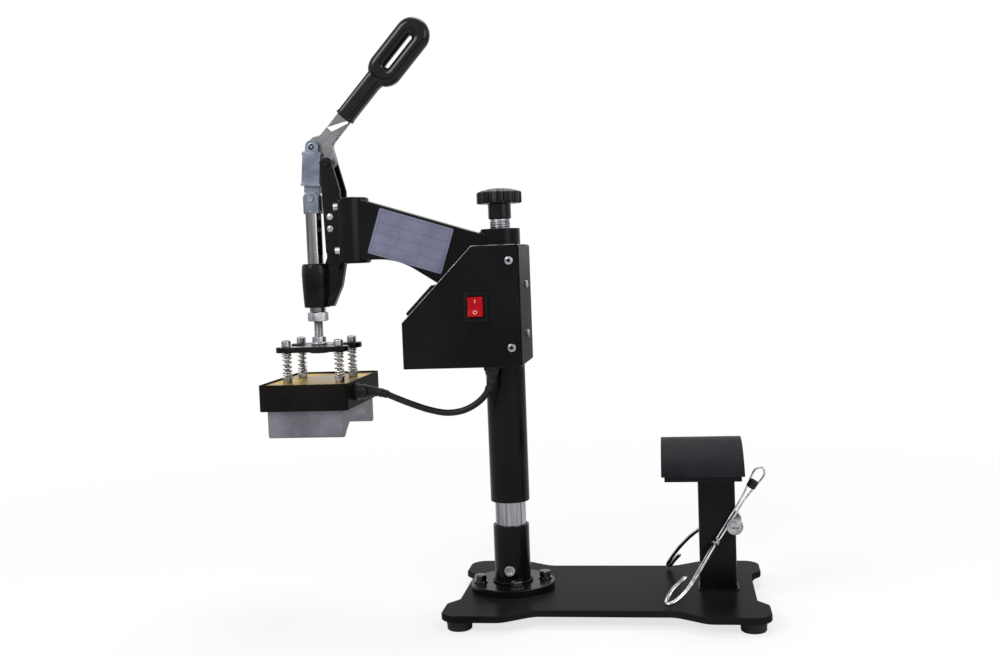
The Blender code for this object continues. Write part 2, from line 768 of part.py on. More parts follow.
def make_arm():
    """Tube, bushes, threaded plug, hollow beam, end block and the bare rating plate."""
    centre = (column_x, 0, 0)
    inner = post_radius + running_gap + bush_wall
    piece("swing_tube", pipe(tube_radius, inner + seat_gap, tube_bottom, tube_top, centre),
          black_coat, arm)
    low = tube_bottom + bush_edge_inset
    high = post_top - upper_bush_drop - bush_length
    for name, bottom in (("swing_bush_lower", low), ("swing_bush_upper", high)):
        piece(name, pipe(inner, post_radius + running_gap, bottom, bottom + bush_length, centre),
              bronze, arm)
    piece("tube_plug", pipe(inner, screw_radius + running_gap, tube_top - plug_length,
                            tube_top - seat_gap, centre), bright_steel, arm)

    boss_back = boss_reach - boss_radius
    hidden = boss_reach - boss_radius * 0.6
    beam_shape = prism(beam_outline(0, tube_radius * beam_root_share, hidden),
                       -arm_half_width, arm_half_width, "Y")
    beam = piece("arm_beam", beam_shape, black_coat, arm)
    soften(beam, beam_edge, 2)
    cut(beam, prism(beam_outline(beam_wall, 0, boss_back - beam_wall),
                    beam_wall - arm_half_width, arm_half_width - beam_wall, "Y"))
    cut(beam, rod(tube_radius + seat_gap, beam_end_low - tube_top, tube_top + overrun, centre))
    half_round = [(column_x - boss_reach, -boss_radius)]
    for step in range(13):
        turn = math.pi * (step / 12 - 0.5)
        half_round.append((column_x - boss_reach + boss_radius * math.cos(turn),
                           boss_radius * math.sin(turn)))
    boss = piece("arm_boss", prism(half_round[1:], boss_low, boss_high), black_coat, arm)
    soften(boss, boss_edge, 2, 60)
    grown = [(p, q) for p, q in beam_outline(-seat_gap, tube_radius, hidden + seat_gap)]
    cut(boss, prism(grown, -arm_half_width - seat_gap, arm_half_width + seat_gap, "Y"))

    slope = math.atan(beam_top_slope)
    corner = (column_x - plate_reach, beam_top(plate_reach) - plate_margin)
    face = -arm_half_width - seat_gap
    plate = prism(rounded_rectangle((corner[0], corner[1] - plate_height),
                                    (corner[0] + plate_width, corner[1]), 2 * plate_thickness, 2),
                  face - plate_thickness, face, "Y")
    turn_about(plate, (corner[0], 0, corner[1]), slope)
    piece("rating_plate", plate, plate_silver, arm)


make_arm()

# Toggle frame: a casting with flange, guide barrel, ribbed web and two ears
plunger_radius = 0.010
barrel_radius = 0.018
barrel_length = 0.055
barrel_rise = 0.0015
barrel_waist = 0.0008
barrel_edge = 0.001
frame_flange_thickness = 0.0049
frame_flange_edge = 0.006
ear_inner = 0.0125
ear_outer = 0.0172
ear_rise = 0.012
ear_left = 0.019
ear_top_half = 0.0068
ear_knee = 0.0095
pin_radius = 0.004
web_half = 0.006
web_root_reach_share = 0.5045
web_root_rise = 0.001
web_knee_reach_share = 0.7715
web_knee_drop = 0.027
web_top_rise = 0.0150
recess_depth = 0.0028
recess_edge = 0.0025
recess_knee = 0.0055
screw_margin = 0.0162
screw_row_gap = 0.0543
screw_side = 0.019
screw_size = 0.003
screw_head_radius = 0.0055
screw_head_length = 0.0065
screw_reach = 0.014
rivet_radius = 0.0028
rivet_head = 0.0015
rivet_reach = 0.0262
rivet_drop = 0.0230
rivet_gap = 0.0149
pin_head_radius = 0.0065
pin_head_height = 0.0022
flange_right = boss_setback - seat_gap
web_root_reach = boss_setback * web_root_reach_share
web_knee_reach = boss_setback * web_knee_reach_share
flange_left = flange_right - frame_flange_thickness
barrel_high = boss_low + barrel_rise
barrel_low = barrel_high - barrel_length
ear_low = boss_low + ear_rise
screw_rows = (boss_low + screw_margin, boss_low + screw_margin + screw_row_gap)
rivet_rows = (boss_high - rivet_drop, boss_high - rivet_drop - rivet_gap)


def frame_points(pairs):
    """Places on the toggle frame, measured from the plunger's axis."""
    return [(head_x + reach, height) for reach, height in pairs]


def make_toggle_frame():
    """The casting with its four screws and two spacer rivets, and the handle's pin."""
    ear = rounded([(head_x + ear_left, ear_low, 0),
                   (handle_x - ear_top_half, handle_pin_height + ear_top_half, ear_top_half * 0.95),
                   (handle_x + ear_top_half, handle_pin_height + ear_top_half, ear_top_half * 0.95),
                   (head_x + flange_left + overrun / 4, boss_high + ear_knee, 0),
                   (head_x + flange_left + overrun / 4, ear_low, 0)], 5)
    flange = rounded_rectangle((-boss_radius, boss_low), (boss_radius, boss_high),
                               frame_flange_edge, 3)
    frame = piece("toggle_frame", prism(flange, head_x + flange_left, head_x + flange_right, "X"),
                  black_cast, arm)
    for side in (-1, 1):
        ends = sorted((side * ear_inner, side * ear_outer))
        weld(frame, prism(ear, ends[0], ends[1], "Y"))
    inside = flange_left + overrun / 4
    web_low = barrel_low + web_root_rise
    knee_low = boss_low - web_knee_drop
    web_high = boss_low + web_top_rise
    web = frame_points([(0, web_low), (web_root_reach, web_low), (web_knee_reach, knee_low),
                        (inside, boss_low + barrel_rise), (inside, web_high), (ear_left, web_high),
                        (barrel_radius - barrel_edge, barrel_high - barrel_edge / 2),
                        (0, barrel_high - barrel_edge / 2)])
    weld(frame, prism(web, -web_half, web_half, "Y"))
    mid = (barrel_low + barrel_high) / 2
    barrel = [(0, barrel_low), (barrel_radius - barrel_edge, barrel_low),
              (barrel_radius, barrel_low + barrel_edge), (barrel_radius - barrel_waist, mid),
              (barrel_radius, barrel_high - barrel_edge), (barrel_radius - barrel_edge, barrel_high),
              (0, barrel_high)]
    weld(frame, turned(barrel, (head_x, 0, 0)))
    cut(frame, rod(plunger_radius + running_gap, barrel_low - overrun, barrel_high + overrun,
                   (head_x, 0, 0), steps=24))
    pocket_left = barrel_radius + recess_edge
    pocket = frame_points([(pocket_left, web_low + 2 * recess_knee),
                           (web_knee_reach - recess_knee, knee_low + recess_edge),
                           (inside - recess_edge, boss_low), (pocket_left, boss_low)])
    for side in (-1, 1):
        ends = sorted((side * (web_half - recess_depth), side * (web_half + overrun)))
        cut(frame, prism(pocket, ends[0], ends[1], "Y"))
    shaft = rod(pin_radius + running_gap, -ear_outer - overrun, ear_outer + overrun,
                (handle_x, 0, handle_pin_height), "Y", 16)
    cut(frame, shaft)
    spots = [(side * screw_side, row) for side in (-1, 1) for row in screw_rows]
    holes = [rod(screw_size + seat_gap, flange_right - overrun, flange_right + screw_reach,
                 (head_x, y, z), "X", 8) for y, z in spots]
    cut(bpy.data.objects["arm_boss"], together(holes))
    outline = [(0, flange_left - screw_head_length), (screw_head_radius, flange_left - screw_head_length),
               (screw_head_radius, flange_left + bite), (screw_size, flange_left + bite),
               (screw_size, flange_right + screw_reach - 2 * seat_gap),
               (0, flange_right + screw_reach - 2 * seat_gap)]
    weld(frame, together([turned(outline, (head_x, y, z), "X", 8) for y, z in spots]))
    reach = ear_outer + rivet_head
    rivet = [(0, -reach), (rivet_radius * 0.7, -reach), (rivet_radius * 1.5, bite - ear_outer),
             (rivet_radius, bite - ear_outer), (rivet_radius, ear_outer - bite),
             (rivet_radius * 1.5, ear_outer - bite), (rivet_radius * 0.7, reach), (0, reach)]
    weld(frame, together([turned(rivet, (head_x + rivet_reach, 0, row), "Y", 8) for row in rivet_rows]))

    out = ear_outer + seat_gap
    end = out + pin_head_height
    pin = [(0, -end), (pin_head_radius, -end), (pin_head_radius, -out), (pin_radius, -out),
           (pin_radius, out), (pin_head_radius, out), (pin_head_radius, end), (0, end)]
    piece("handle_pin", turned(pin, (handle_x, 0, handle_pin_height), "Y", 16), zinc, arm)


make_toggle_frame()

# Handle: a flat steel lever, with a vinyl loop grip dipped over its end
lever_half = 0.005
bar_width = 0.019
bar_side = 0.0203
hub_size = 0.0085
eye_size = 0.009
lever_length = 0.112
bar_root = 0.021
grip_start = 0.0565
neck_width = 0.0235
neck_length = 0.058
grip_half = 0.010
loop_width = 0.044
loop_length = 0.097
loop_shift = 0.003
loop_centre = 0.1625
slot_width = 0.0068
slot_length = 0.052
grip_edge = 0.005
slot_edge = 0.0016


def handle_frame(points):
    """Turn places along and beside the handle into the side view, rounding kept."""
    along = (math.cos(handle_angle), math.sin(handle_angle))
    beside = (math.sin(handle_angle), -math.cos(handle_angle))
    return [(handle_x + s * along[0] + t * beside[0],
             handle_pin_height + s * along[1] + t * beside[1], *rest) for s, t, *rest in points]


def make_handle():
    """Lever with its two eyes, and the grip with a blind pocket for the lever's tang."""
    dx = link_x - handle_x
    dz = link_pin_height - handle_pin_height
    eye_s = dx * math.cos(handle_angle) + dz * math.sin(handle_angle)
    eye_t = dx * math.sin(handle_angle) - dz * math.cos(handle_angle)
    inner = bar_width / 2 - bar_side
    outer = -bar_width / 2 - bar_side
    corners = [(lever_length, outer, 0), (lever_length, inner, 0), (bar_root, inner, hub_size),
               (hub_size, hub_size, hub_size * 0.95), (-hub_size, hub_size, hub_size * 0.95),
               (eye_s - eye_size, eye_t - eye_size, eye_size * 0.95),
               (eye_s + eye_size, eye_t - eye_size, eye_size * 0.95), (bar_root, outer, hub_size)]
    lever = piece("handle_lever", prism(rounded(handle_frame(corners)), -lever_half, lever_half, "Y"),
                  bright_steel, handle)
    holes = [rod(pin_radius + running_gap, -lever_half - overrun, lever_half + overrun,
                 spot, "Y", 16) for spot in ((handle_x, 0, handle_pin_height),
                                             (link_x, 0, link_pin_height))]
    cut(lever, together(holes))

    middle = loop_shift - bar_side
    neck = neck_width / 2
    half = loop_width / 2
    neck_end = grip_start + neck_length
    loop_end = loop_centre + loop_length / 2
    round_end = half * 0.98
    corners = [(grip_start, -neck - bar_side, neck / 3), (neck_end - neck_width, -neck - bar_side, neck),
               (neck_end, middle - half, half * 0.8), (loop_end, middle - half, round_end),
               (loop_end, middle + half, round_end), (neck_end, middle + half, half * 0.8),
               (neck_end - neck_width, neck - bar_side, neck), (grip_start, neck - bar_side, neck / 3)]
    grip = piece("handle_grip", prism(rounded(handle_frame(corners), 5), -grip_half, grip_half, "Y"),
                 vinyl, handle)
    soften(grip, grip_edge, 2, 60)
    slot = [(loop_centre - slot_length / 2, middle - slot_width / 2, slot_width * 0.45),
            (loop_centre + slot_length / 2, middle - slot_width / 2, slot_width * 0.45),
            (loop_centre + slot_length / 2, middle + slot_width / 2, slot_width * 0.45),
            (loop_centre - slot_length / 2, middle + slot_width / 2, slot_width * 0.45)]
    cut(grip, prism(rounded(handle_frame(slot)), -grip_half - overrun, grip_half + overrun, "Y"))
    gap = seat_gap
    pocket = [(grip_start - overrun, outer - gap), (lever_length + gap, outer - gap),
              (lever_length + gap, inner + gap), (grip_start - overrun, inner + gap)]
    cut(grip, prism(handle_frame(pocket), -lever_half - gap, lever_half + gap, "Y"))


make_handle()

# Link: a forked block from the handle's eye down to the plunger
link_half = 0.012
link_slot = 0.0053
cheek_half = 0.0083
block_half = 0.0115
block_start = 0.006
block_end = 0.0485
neck_half = 0.0098
neck_end = 0.057
slot_depth = 0.0285
tongue_half = 0.0057
tongue_radius = 0.0073
block_edge = 0.0012
plunger_slot = 0.006
slot_floor = 0.015
plunger_rise = 0.0078
plunger_edge = 0.0012
stub_radius = 0.0044
stub_out = 0.0112


def link_frame(points):
    """Turn places down and beside the link into the side view."""
    down = Vector((head_x - link_x, plunger_pin_height - link_pin_height)).normalized()
    beside = Vector((-down.y, down.x))
    return [(link_x + s * down.x + t * beside.x,
             link_pin_height + s * down.y + t * beside.y, *rest) for s, t, *rest in points]


def make_link():
    """Forked block with a tongue, and the pin riveted across its fork."""
    top = cheek_half * 0.95
    corners = [(-cheek_half, -cheek_half, top), (-cheek_half, cheek_half, top),
               (block_start, cheek_half, 0), (block_start, block_half, block_edge),
               (block_end, block_half, 0), (block_end, -block_half, 0),
               (block_start, -block_half, block_edge), (block_start, -cheek_half, 0)]
    made = piece("toggle_link", prism(rounded(link_frame(corners)), -link_half, link_half, "Y"),
                 bright_steel, link)
    end = link_length + tongue_radius
    tongue = [(block_end - overrun, -tongue_radius, 0), (block_end - overrun, tongue_radius, 0),
              (end, tongue_radius, tongue_radius * 0.95), (end, -tongue_radius, tongue_radius * 0.95)]
    weld(made, prism(rounded(link_frame(tongue)), -tongue_half, tongue_half, "Y"))
    neck = [(block_end - overrun, -neck_half, 0), (block_end - overrun, neck_half, 0),
            (neck_end, neck_half, block_edge), (neck_end, -neck_half, block_edge)]
    weld(made, prism(rounded(link_frame(neck), 2), -tongue_half, tongue_half, "Y"))
    slot = [(-cheek_half - overrun, -block_half - overrun), (slot_depth, -block_half - overrun),
            (slot_depth, block_half + overrun), (-cheek_half - overrun, block_half + overrun)]
    cut(made, prism(link_frame(slot), -link_slot, link_slot, "Y"))
    spot = (link_x, 0, link_pin_height)
    weld(made, rod(pin_radius, -link_half - bite, link_half + bite, spot, "Y", 16))


def make_plunger():
    """Chrome plunger with a forked top, and its pin's two ends held in the fork."""
    centre = (head_x, 0, 0)
    top = plunger_pin_height + plunger_rise
    made = piece("plunger", rod(plunger_radius, plunger_low, top, centre, steps=24,
                                edge=plunger_edge), chrome, plunger)
    floor = plunger_pin_height - slot_floor
    cut(made, prism(rectangle((head_x - 2 * plunger_radius, floor),
                              (head_x + 2 * plunger_radius, top + overrun)),
                    -plunger_slot, plunger_slot, "Y"))
    spot = (head_x, 0, plunger_pin_height)
    stubs = [rod(stub_radius, *sorted((side * (plunger_slot + bite), side * stub_out)), spot,
                 "Y", 16) for side in (-1, 1)]
    weld(made, together(stubs))


make_link()
make_plunger()

# Head mount: nut and stud in the plunger's end, and the pressure plate on the stud
nut_half = 0.0132
nut_height = 0.0114
stud_radius = 0.0058
stud_bore_depth = 0.020
stud_show = 0.0315
stud_collar_height = 0.0096
stud_collar_radius = 0.0102
spring_reach = 0.0335
spring_side = 0.0308
pressure_plate_thickness = 0.0069
pad_end = 0.0125
hub_disc_radius = 0.0200
boss_drop = 0.0035
boss_disc_radius = 0.0125
bar_half = 0.0115
bridge_half = 0.0135
plate_high = plunger_low - stud_show - stud_collar_height - seat_gap
plate_low = plate_high - pressure_plate_thickness
head_top = plate_low - spring_room
head_bottom = head_top - shroud_height
platen_foot = head_bottom + shroud_overlap - platen_block_height


def make_head_mount():
    """Stud with its collar and lock nut, and the two-bar plate with a hub."""
    centre = (head_x, 0, 0)
    body = bpy.data.objects["plunger"]
    cut(body, rod(stud_radius + seat_gap, plunger_low - overrun, plunger_low + stud_bore_depth,
                  centre, steps=16))
    bottom = plate_low - boss_drop + seat_gap
    collar_low = plate_high + seat_gap
    collar_high = collar_low + stud_collar_height
    stud_end = plunger_low + stud_bore_depth - seat_gap
    stud = [(0, bottom), (stud_radius, bottom), (stud_radius, collar_low), (stud_collar_radius, collar_low),
            (stud_collar_radius, collar_high), (stud_radius, collar_high),
            (stud_radius, stud_end), (0, stud_end)]
    made = piece("head_stud", turned(stud, centre, steps=18), zinc, plunger)
    weld(made, rod(nut_half, plunger_low - seat_gap - nut_height, plunger_low - seat_gap, centre, steps=6))

    bar_end = spring_reach + pad_end
    bars = []
    for side in (-1, 1):
        low = (head_x - bar_end, side * spring_side - bar_half)
        high = (head_x + bar_end, side * spring_side + bar_half)
        bars.append(prism(rounded_rectangle(low, high, bar_half * 0.9), plate_low, plate_high))
    plate = piece("pressure_plate", bars[0], black_coat, plunger)
    weld(plate, bars[1])
    bridge = prism(rectangle((head_x - bridge_half, -spring_side), (head_x + bridge_half, spring_side)),
                   plate_low, plate_high)
    weld(plate, bridge)
    weld(plate, rod(hub_disc_radius, plate_low, plate_high, centre, steps=24))
    weld(plate, rod(boss_disc_radius, plate_low - boss_drop, plate_low + boss_drop / 2, centre, steps=24))
    cut(plate, rod(stud_radius + seat_gap, plate_low - boss_drop - overrun, plate_high + overrun,
                   centre, steps=18))


make_head_mount()

# Heated head, hung on four sprung bolts under the pressure plate
shoulder_radius = 0.003
guide_gap = 0.0004
thread_depth = 0.006
shoulder_head_radius = 0.0058
shoulder_head_height = 0.0062
seat_nut_radius = 0.0062
seat_nut_height = 0.0052
washer_radius = 0.0072
washer_height = 0.0014
spring_wire = 0.0009
spring_coil = 0.0049
spring_turns = 6
shroud_wall = 0.0016
shroud_round = 0.009
cover_drop = 0.0022
cover_thickness = 0.002
platen_block_top = head_bottom + shroud_overlap
concave_gap = 0.0012
concave_half_chord = 0.065
block_length = 0.094
block_depth = 0.1464
foot_chamfer = 0.004
groove_radius = 0.0035
element_half = 0.020
element_leg_shares = (-1.0, -0.333, 0.333, 1.0)
element_run = 0.052
gland_drop = 0.0141
gland_side = -0.041
gland_radius = 0.0092
gland_flange = 0.0105
gland_length = 0.021
lead_radius = 0.004
gland_gap = 0.0004
gland_height = head_top - gland_drop


def spring_places():
    """The four bolts' places under the corners of the pressure plate."""
    return [(head_x + sx * spring_reach, sy * spring_side) for sx in (-1, 1) for sy in (-1, 1)]


def spring_shape(x, y, low, high):
    """One round-wire spring, with its end turns drawn close."""
    steps = spring_turns * 6
    path = []
    for step in range(steps + 1):
        share = step / steps
        turn = 2 * math.pi * spring_turns * share
        eased = share - 0.06 * math.sin(2 * math.pi * share)
        rise = low + spring_wire + (high - low - 2 * spring_wire) * eased
        path.append((x + spring_coil * math.cos(turn), y + spring_coil * math.sin(turn), rise))
    return swept(path, spring_wire, 4)


def make_springs():
    """Shoulder bolts with the nuts and washers that carry the springs, and the springs."""
    cover_top = head_top - cover_drop
    nut_low_z = cover_top + seat_gap
    nut_top = nut_low_z + seat_nut_height
    seat = nut_top + washer_height
    head_low = plate_high + seat_gap
    bolt_end = platen_block_top - thread_depth
    bolt = [(0, bolt_end), (shoulder_radius, bolt_end),
            (shoulder_radius, head_low), (shoulder_head_radius, head_low),
            (shoulder_head_radius, head_low + shoulder_head_height * 0.8),
            (shoulder_head_radius * 0.8, head_low + shoulder_head_height),
            (0, head_low + shoulder_head_height)]
    spots = [(x, y, 0) for x, y in spring_places()]
    washer = [(0, nut_top - bite), (washer_radius, nut_top - bite), (washer_radius, seat), (0, seat)]
    for number, spot in enumerate(spots, 1):
        made = piece("head_bolt_%d" % number, turned(bolt, spot, steps=12), zinc, head)
        weld(made, rod(seat_nut_radius, nut_low_z, nut_top, spot, steps=6))
        weld(made, turned(washer, spot, steps=12))
        spring = spring_shape(spot[0], spot[1], seat + seat_gap, plate_low - seat_gap)
        piece("head_spring_%d" % number, spring, bright_steel, head)
    plate = bpy.data.objects["pressure_plate"]
    holes = [rod(shoulder_radius + guide_gap, plate_low - overrun, plate_high + overrun, spot, steps=12)
             for spot in spots]
    cut(plate, together(holes))


def make_heater():
    """Shroud, cover, heating element, hollow-faced platen and the lead's gland."""
    half_x = head_length / 2
    half_y = head_depth / 2
    low = (head_x - half_x, -half_y)
    high = (head_x + half_x, half_y)
    shroud = piece("heater_shroud", prism(rounded_rectangle(low, high, shroud_round), head_bottom,
                                          head_top), black_coat, head)
    wall = shroud_wall
    inner = rounded_rectangle((low[0] + wall, low[1] + wall), (high[0] - wall, high[1] - wall),
                              shroud_round - wall)
    cut(shroud, prism(inner, head_bottom - overrun, head_top + overrun))
    cover_low = head_top - cover_drop - cover_thickness
    gap = seat_gap
    lid = rounded_rectangle((low[0] + wall + gap, low[1] + wall + gap),
                            (high[0] - wall - gap, high[1] - wall - gap), shroud_round - wall - gap)
    cover = piece("heater_cover", prism(lid, cover_low, head_top - cover_drop), gold_zinc, head)

    radius = platen_arc_radius + concave_gap
    centre_z = platen_foot - math.sqrt(radius ** 2 - concave_half_chord ** 2)
    spread = math.asin(concave_half_chord / radius)
    side = block_depth / 2
    hollow = [(-radius * math.sin(spread * (1 - step / 8)),
               centre_z + radius * math.cos(spread * (1 - step / 8))) for step in range(17)]
    profile = [(-side + foot_chamfer / 2, platen_foot)] + hollow + [(side - foot_chamfer / 2, platen_foot),
               (side, platen_foot + foot_chamfer), (side, platen_block_top),
               (-side, platen_block_top), (-side, platen_foot + foot_chamfer)]
    length = block_length / 2
    block = piece("heater_platen", prism(profile, head_x - length, head_x + length, "X"), aluminium, head)
    for owner, low_end in ((cover, cover_low - overrun), (block, platen_block_top - thread_depth - gap)):
        cut(owner, together([rod(shoulder_radius + gap, low_end, head_top + overrun, (x, y, 0), steps=12)
                             for x, y in spring_places()]))
    run = []
    for leg, leg_share in enumerate(element_leg_shares):
        y = element_half * leg_share
        ends = (-element_run / 2, element_run / 2) if leg % 2 == 0 else (element_run / 2, -element_run / 2)
        run += [(head_x + ends[0], y), (head_x + ends[1], y)]
    seat_z = platen_block_top
    path = smooth([(x, y, seat_z + groove_radius + gap) for x, y in run])
    piece("heating_element", swept(path, groove_radius), bright_steel, head)

    face = half_x + seat_gap
    out = face + gland_length
    tube = lead_radius + gland_gap
    profile = [(tube, face), (gland_flange, face), (gland_flange, face + gland_length * 0.2),
               (gland_radius, face + gland_length * 0.2), (gland_radius, face + gland_length * 0.75),
               (gland_radius * 0.7, out), (tube, out)]
    piece("lead_gland", turned(profile, (head_x, gland_side, gland_height), "X", 16), rubber, head)
    cut(shroud, rod(lead_radius, 0, half_x + overrun, (head_x, gland_side, gland_height), "X", 12))
    cut(block, rod(lead_radius, length - 3 * lead_radius, length + overrun,
                   (head_x, gland_side, gland_height), "X", 12))


make_springs()
make_heater()

# Control box: a folded steel shell round the tube, closed by a back cover
sheet = 0.0012
box_back = -0.0270
box_front_height = 0.056
box_slope_top = 0.0283
notch_gap = 0.0006
flange_turn = 0.016
box_screw_inset = 0.0106
box_screw_margin_high = 0.0191
box_screw_margin_low = 0.0229
box_screw_radius = 0.002
box_screw_head = 0.0048
box_screw_height = 0.0024
mount_screw_margin_high = 0.049
mount_screw_margin_low = 0.0365
mount_screw_radius = 0.0025
mount_head_radius = 0.0045
mount_head_height = 0.003
mount_depth = 0.002
controller_height = 0.048
controller_rise = 0.034
controller_depth_share = 0.385
controller_bezel = 0.005
controller_lip = 0.003
window_width = 0.052
window_height = 0.022
window_depth = 0.0015
key_size = 0.008
key_pitch = 0.018
key_drop = 0.0145
key_proud = 0.0022
key_travel = 0.0012
key_depth = 0.003
key_gap = 0.0004
bezel_width = 0.0291
bezel_height = 0.0361
bezel_thickness = 0.0025
switch_width = 0.0215
switch_height = 0.0285
switch_depth = 0.016
switch_wall = 0.001
rocker_half_width = 0.0090
rocker_half_height = 0.0124
rocker_crest = 0.0060
rocker_valley = 0.0030
rocker_rest = math.radians(8)
box_gland_reach = 0.0112
box_gland_side = -0.039
box_gland_radius = 0.0075
box_gland_nut = 0.0095
box_gland_length = 0.0115
controller_depth = box_front * controller_depth_share
box_slope_low = box_floor + box_front_height
box_screw_places = ((box_back + box_screw_inset, box_crown - box_screw_margin_high),
                    (box_back + box_screw_inset, box_floor + box_screw_margin_low))
mount_screw_heights = (box_crown - mount_screw_margin_high, box_floor + mount_screw_margin_low)


def box_outline(inset=0, back=0):
    """The box from the side: upright back, flat top, long slope, short upright front."""
    lean = math.atan2(box_crown - box_slope_low, box_front - box_slope_top)
    nip = inset * math.tan((math.pi / 2 - lean) / 2)
    nip_top = inset * math.tan(lean / 2)
    pairs = [(box_back + back, box_floor + inset), (box_front - inset, box_floor + inset),
             (box_front - inset, box_slope_low - nip), (box_slope_top - nip_top, box_crown - inset),
             (box_back + back, box_crown - inset)]
    return [arm_point(reach, height) for reach, height in pairs]


def slope_frame():
    """The sloping front: its low corner, the way up it, and the way out of it."""
    low = Vector((column_x - box_front, 0, box_slope_low))
    up = Vector((box_front - box_slope_top, 0, box_crown - box_slope_low)).normalized()
    out = Vector((-up.z, 0, up.x))
    return low, up, out


def on_slope(across, rise, height, thick_low, thick_high, width):
    """A block on the sloping front: width across, height up the slope, depth out."""
    low, up, out = slope_frame()
    mesh = bmesh.new()
    corners = []
    for depth in (thick_low, thick_high):
        for v in (-height / 2, height / 2):
            for w in (-width / 2, width / 2):
                spot = low + up * (rise + v) + out * depth + Vector((0, across + w, 0))
                corners.append(mesh.verts.new(spot))
    for face in ((0, 1, 3, 2), (4, 6, 7, 5), (0, 4, 5, 1), (2, 3, 7, 6), (0, 2, 6, 4), (1, 5, 7, 3)):
        mesh.faces.new([corners[index] for index in face])
    bmesh.ops.recalc_face_normals(mesh, faces=mesh.faces)
    return mesh


def make_box():
    """Shell with its cut-outs, back cover with flanges, and all their screws."""
    shell = piece("control_box", prism(box_outline(), -box_half_width, box_half_width, "Y"),
                  black_coat, arm)
    cut(shell, prism(box_outline(sheet, -overrun), sheet - box_half_width, box_half_width - sheet, "Y"))
    room = tube_radius + notch_gap
    notch = prism(rectangle((column_x, -room), (column_x - box_back + overrun, room)),
                  box_floor - overrun, box_crown + overrun)
    cut(shell, together([notch]))
    cut(shell, rod(room, box_floor - overrun, box_crown + overrun, (column_x, 0, 0)))
    wide = arm_half_width + notch_gap
    cut(shell, prism(beam_outline(-notch_gap, 0, boss_reach), -wide, wide, "Y"))
    cut(shell, on_slope(0, controller_rise, controller_height - 2 * controller_lip, -overrun, overrun,
                        controller_width - 2 * controller_lip))
    low = (rocker_spot[0] - switch_width / 2 - seat_gap, rocker_height - switch_height / 2 - seat_gap)
    high = (rocker_spot[0] + switch_width / 2 + seat_gap, rocker_height + switch_height / 2 + seat_gap)
    cut(shell, prism(rectangle(low, high), -box_half_width - overrun, -box_half_width + overrun, "Y"))
    gland_spot = (column_x - box_gland_reach, box_gland_side, 0)
    cut(shell, rod(box_gland_radius * 0.75 + seat_gap, box_floor - overrun, box_floor + overrun,
                   gland_spot, steps=16))
    side_holes = [rod(box_screw_radius + seat_gap, -box_half_width - overrun, box_half_width + overrun,
                      (column_x - reach, 0, height), "Y", 10) for reach, height in box_screw_places]

    back_out = column_x - box_back
    back_in = back_out - sheet
    inner = box_half_width - sheet - seat_gap
    gap = seat_gap
    cover = [(back_out, -box_half_width), (back_out, box_half_width), (back_in + gap, box_half_width),
             (back_in + gap, inner), (back_in - flange_turn, inner), (back_in - flange_turn, inner - sheet),
             (back_in, inner - sheet), (back_in, sheet - inner), (back_in - flange_turn, sheet - inner),
             (back_in - flange_turn, -inner), (back_in + gap, -inner), (back_in + gap, -box_half_width)]
    shift = sheet + 2 * gap
    cover = [(x + shift, y) for x, y in cover]
    back = piece("control_box_back", prism(cover, box_floor + sheet + gap, box_crown - sheet - gap),
                 black_coat, arm)
    cut(back, together(side_holes))
    tube_face = column_x + tube_radius
    mounts = [rod(mount_screw_radius + gap, tube_face - mount_depth, back_out + overrun,
                  (0, 0, height), "X", 10) for height in mount_screw_heights]
    cut(bpy.data.objects["swing_tube"], together(mounts))

    face = box_half_width - bite
    shank = box_half_width - 3 * sheet
    screws = []
    for side in (-1, 1):
        profile = [(0, side * shank), (box_screw_radius, side * shank), (box_screw_radius, side * face),
                   (box_screw_head, side * face),
                   (box_screw_head * 0.75, side * (box_half_width + box_screw_height)),
                   (0, side * (box_half_width + box_screw_height))]
        screws += [turned(profile, (column_x - reach, 0, height), "Y", 12)
                   for reach, height in box_screw_places]
    weld(shell, together(screws))
    rear = back_out + shift - bite
    profile = [(0, tube_face - mount_depth + gap), (mount_screw_radius, tube_face - mount_depth + gap),
               (mount_screw_radius, rear), (mount_head_radius, rear),
               (mount_head_radius * 0.8, rear + mount_head_height), (0, rear + mount_head_height)]
    weld(back, together([turned(profile, (0, 0, height), "X", 12) for height in mount_screw_heights]))


def make_controller():
    """Panel controller on the slope, with its window and three keys."""
    low, up, out = slope_frame()
    body = on_slope(0, controller_rise, controller_height - 2 * controller_lip - 2 * seat_gap,
                    -controller_depth, controller_bezel / 2, controller_width - 2 * controller_lip - 2 * seat_gap)
    made = piece("controller", body, plastic, arm)
    weld(made, on_slope(0, controller_rise, controller_height, seat_gap, controller_bezel, controller_width))
    rise = controller_rise + controller_height / 2 - controller_lip - window_height / 2 - seat_gap
    cut(made, on_slope(0, rise, window_height, controller_bezel - window_depth,
                       controller_bezel + overrun, window_width))
    piece("controller_window",
          on_slope(0, rise, window_height - 2 * seat_gap, controller_bezel - window_depth + seat_gap,
                   controller_bezel, window_width - 2 * seat_gap), window_plastic, arm)
    key_rise = controller_rise - key_drop
    floor = controller_bezel - key_depth - key_travel
    for number, place_share in enumerate((-1, 0, 1), 1):
        across = place_share * key_pitch
        cut(made, on_slope(across, key_rise, key_size + 2 * key_gap, floor - key_gap,
                           controller_bezel + overrun, key_size + 2 * key_gap))
        spot = low + up * key_rise + Vector((0, across, 0))
        empty = joint_empty("key_%d_slide" % number, spot, arm)
        piece("key_%d" % number, on_slope(across, key_rise, key_size, floor + key_travel,
                                          controller_bezel + key_proud, key_size), plastic, empty)


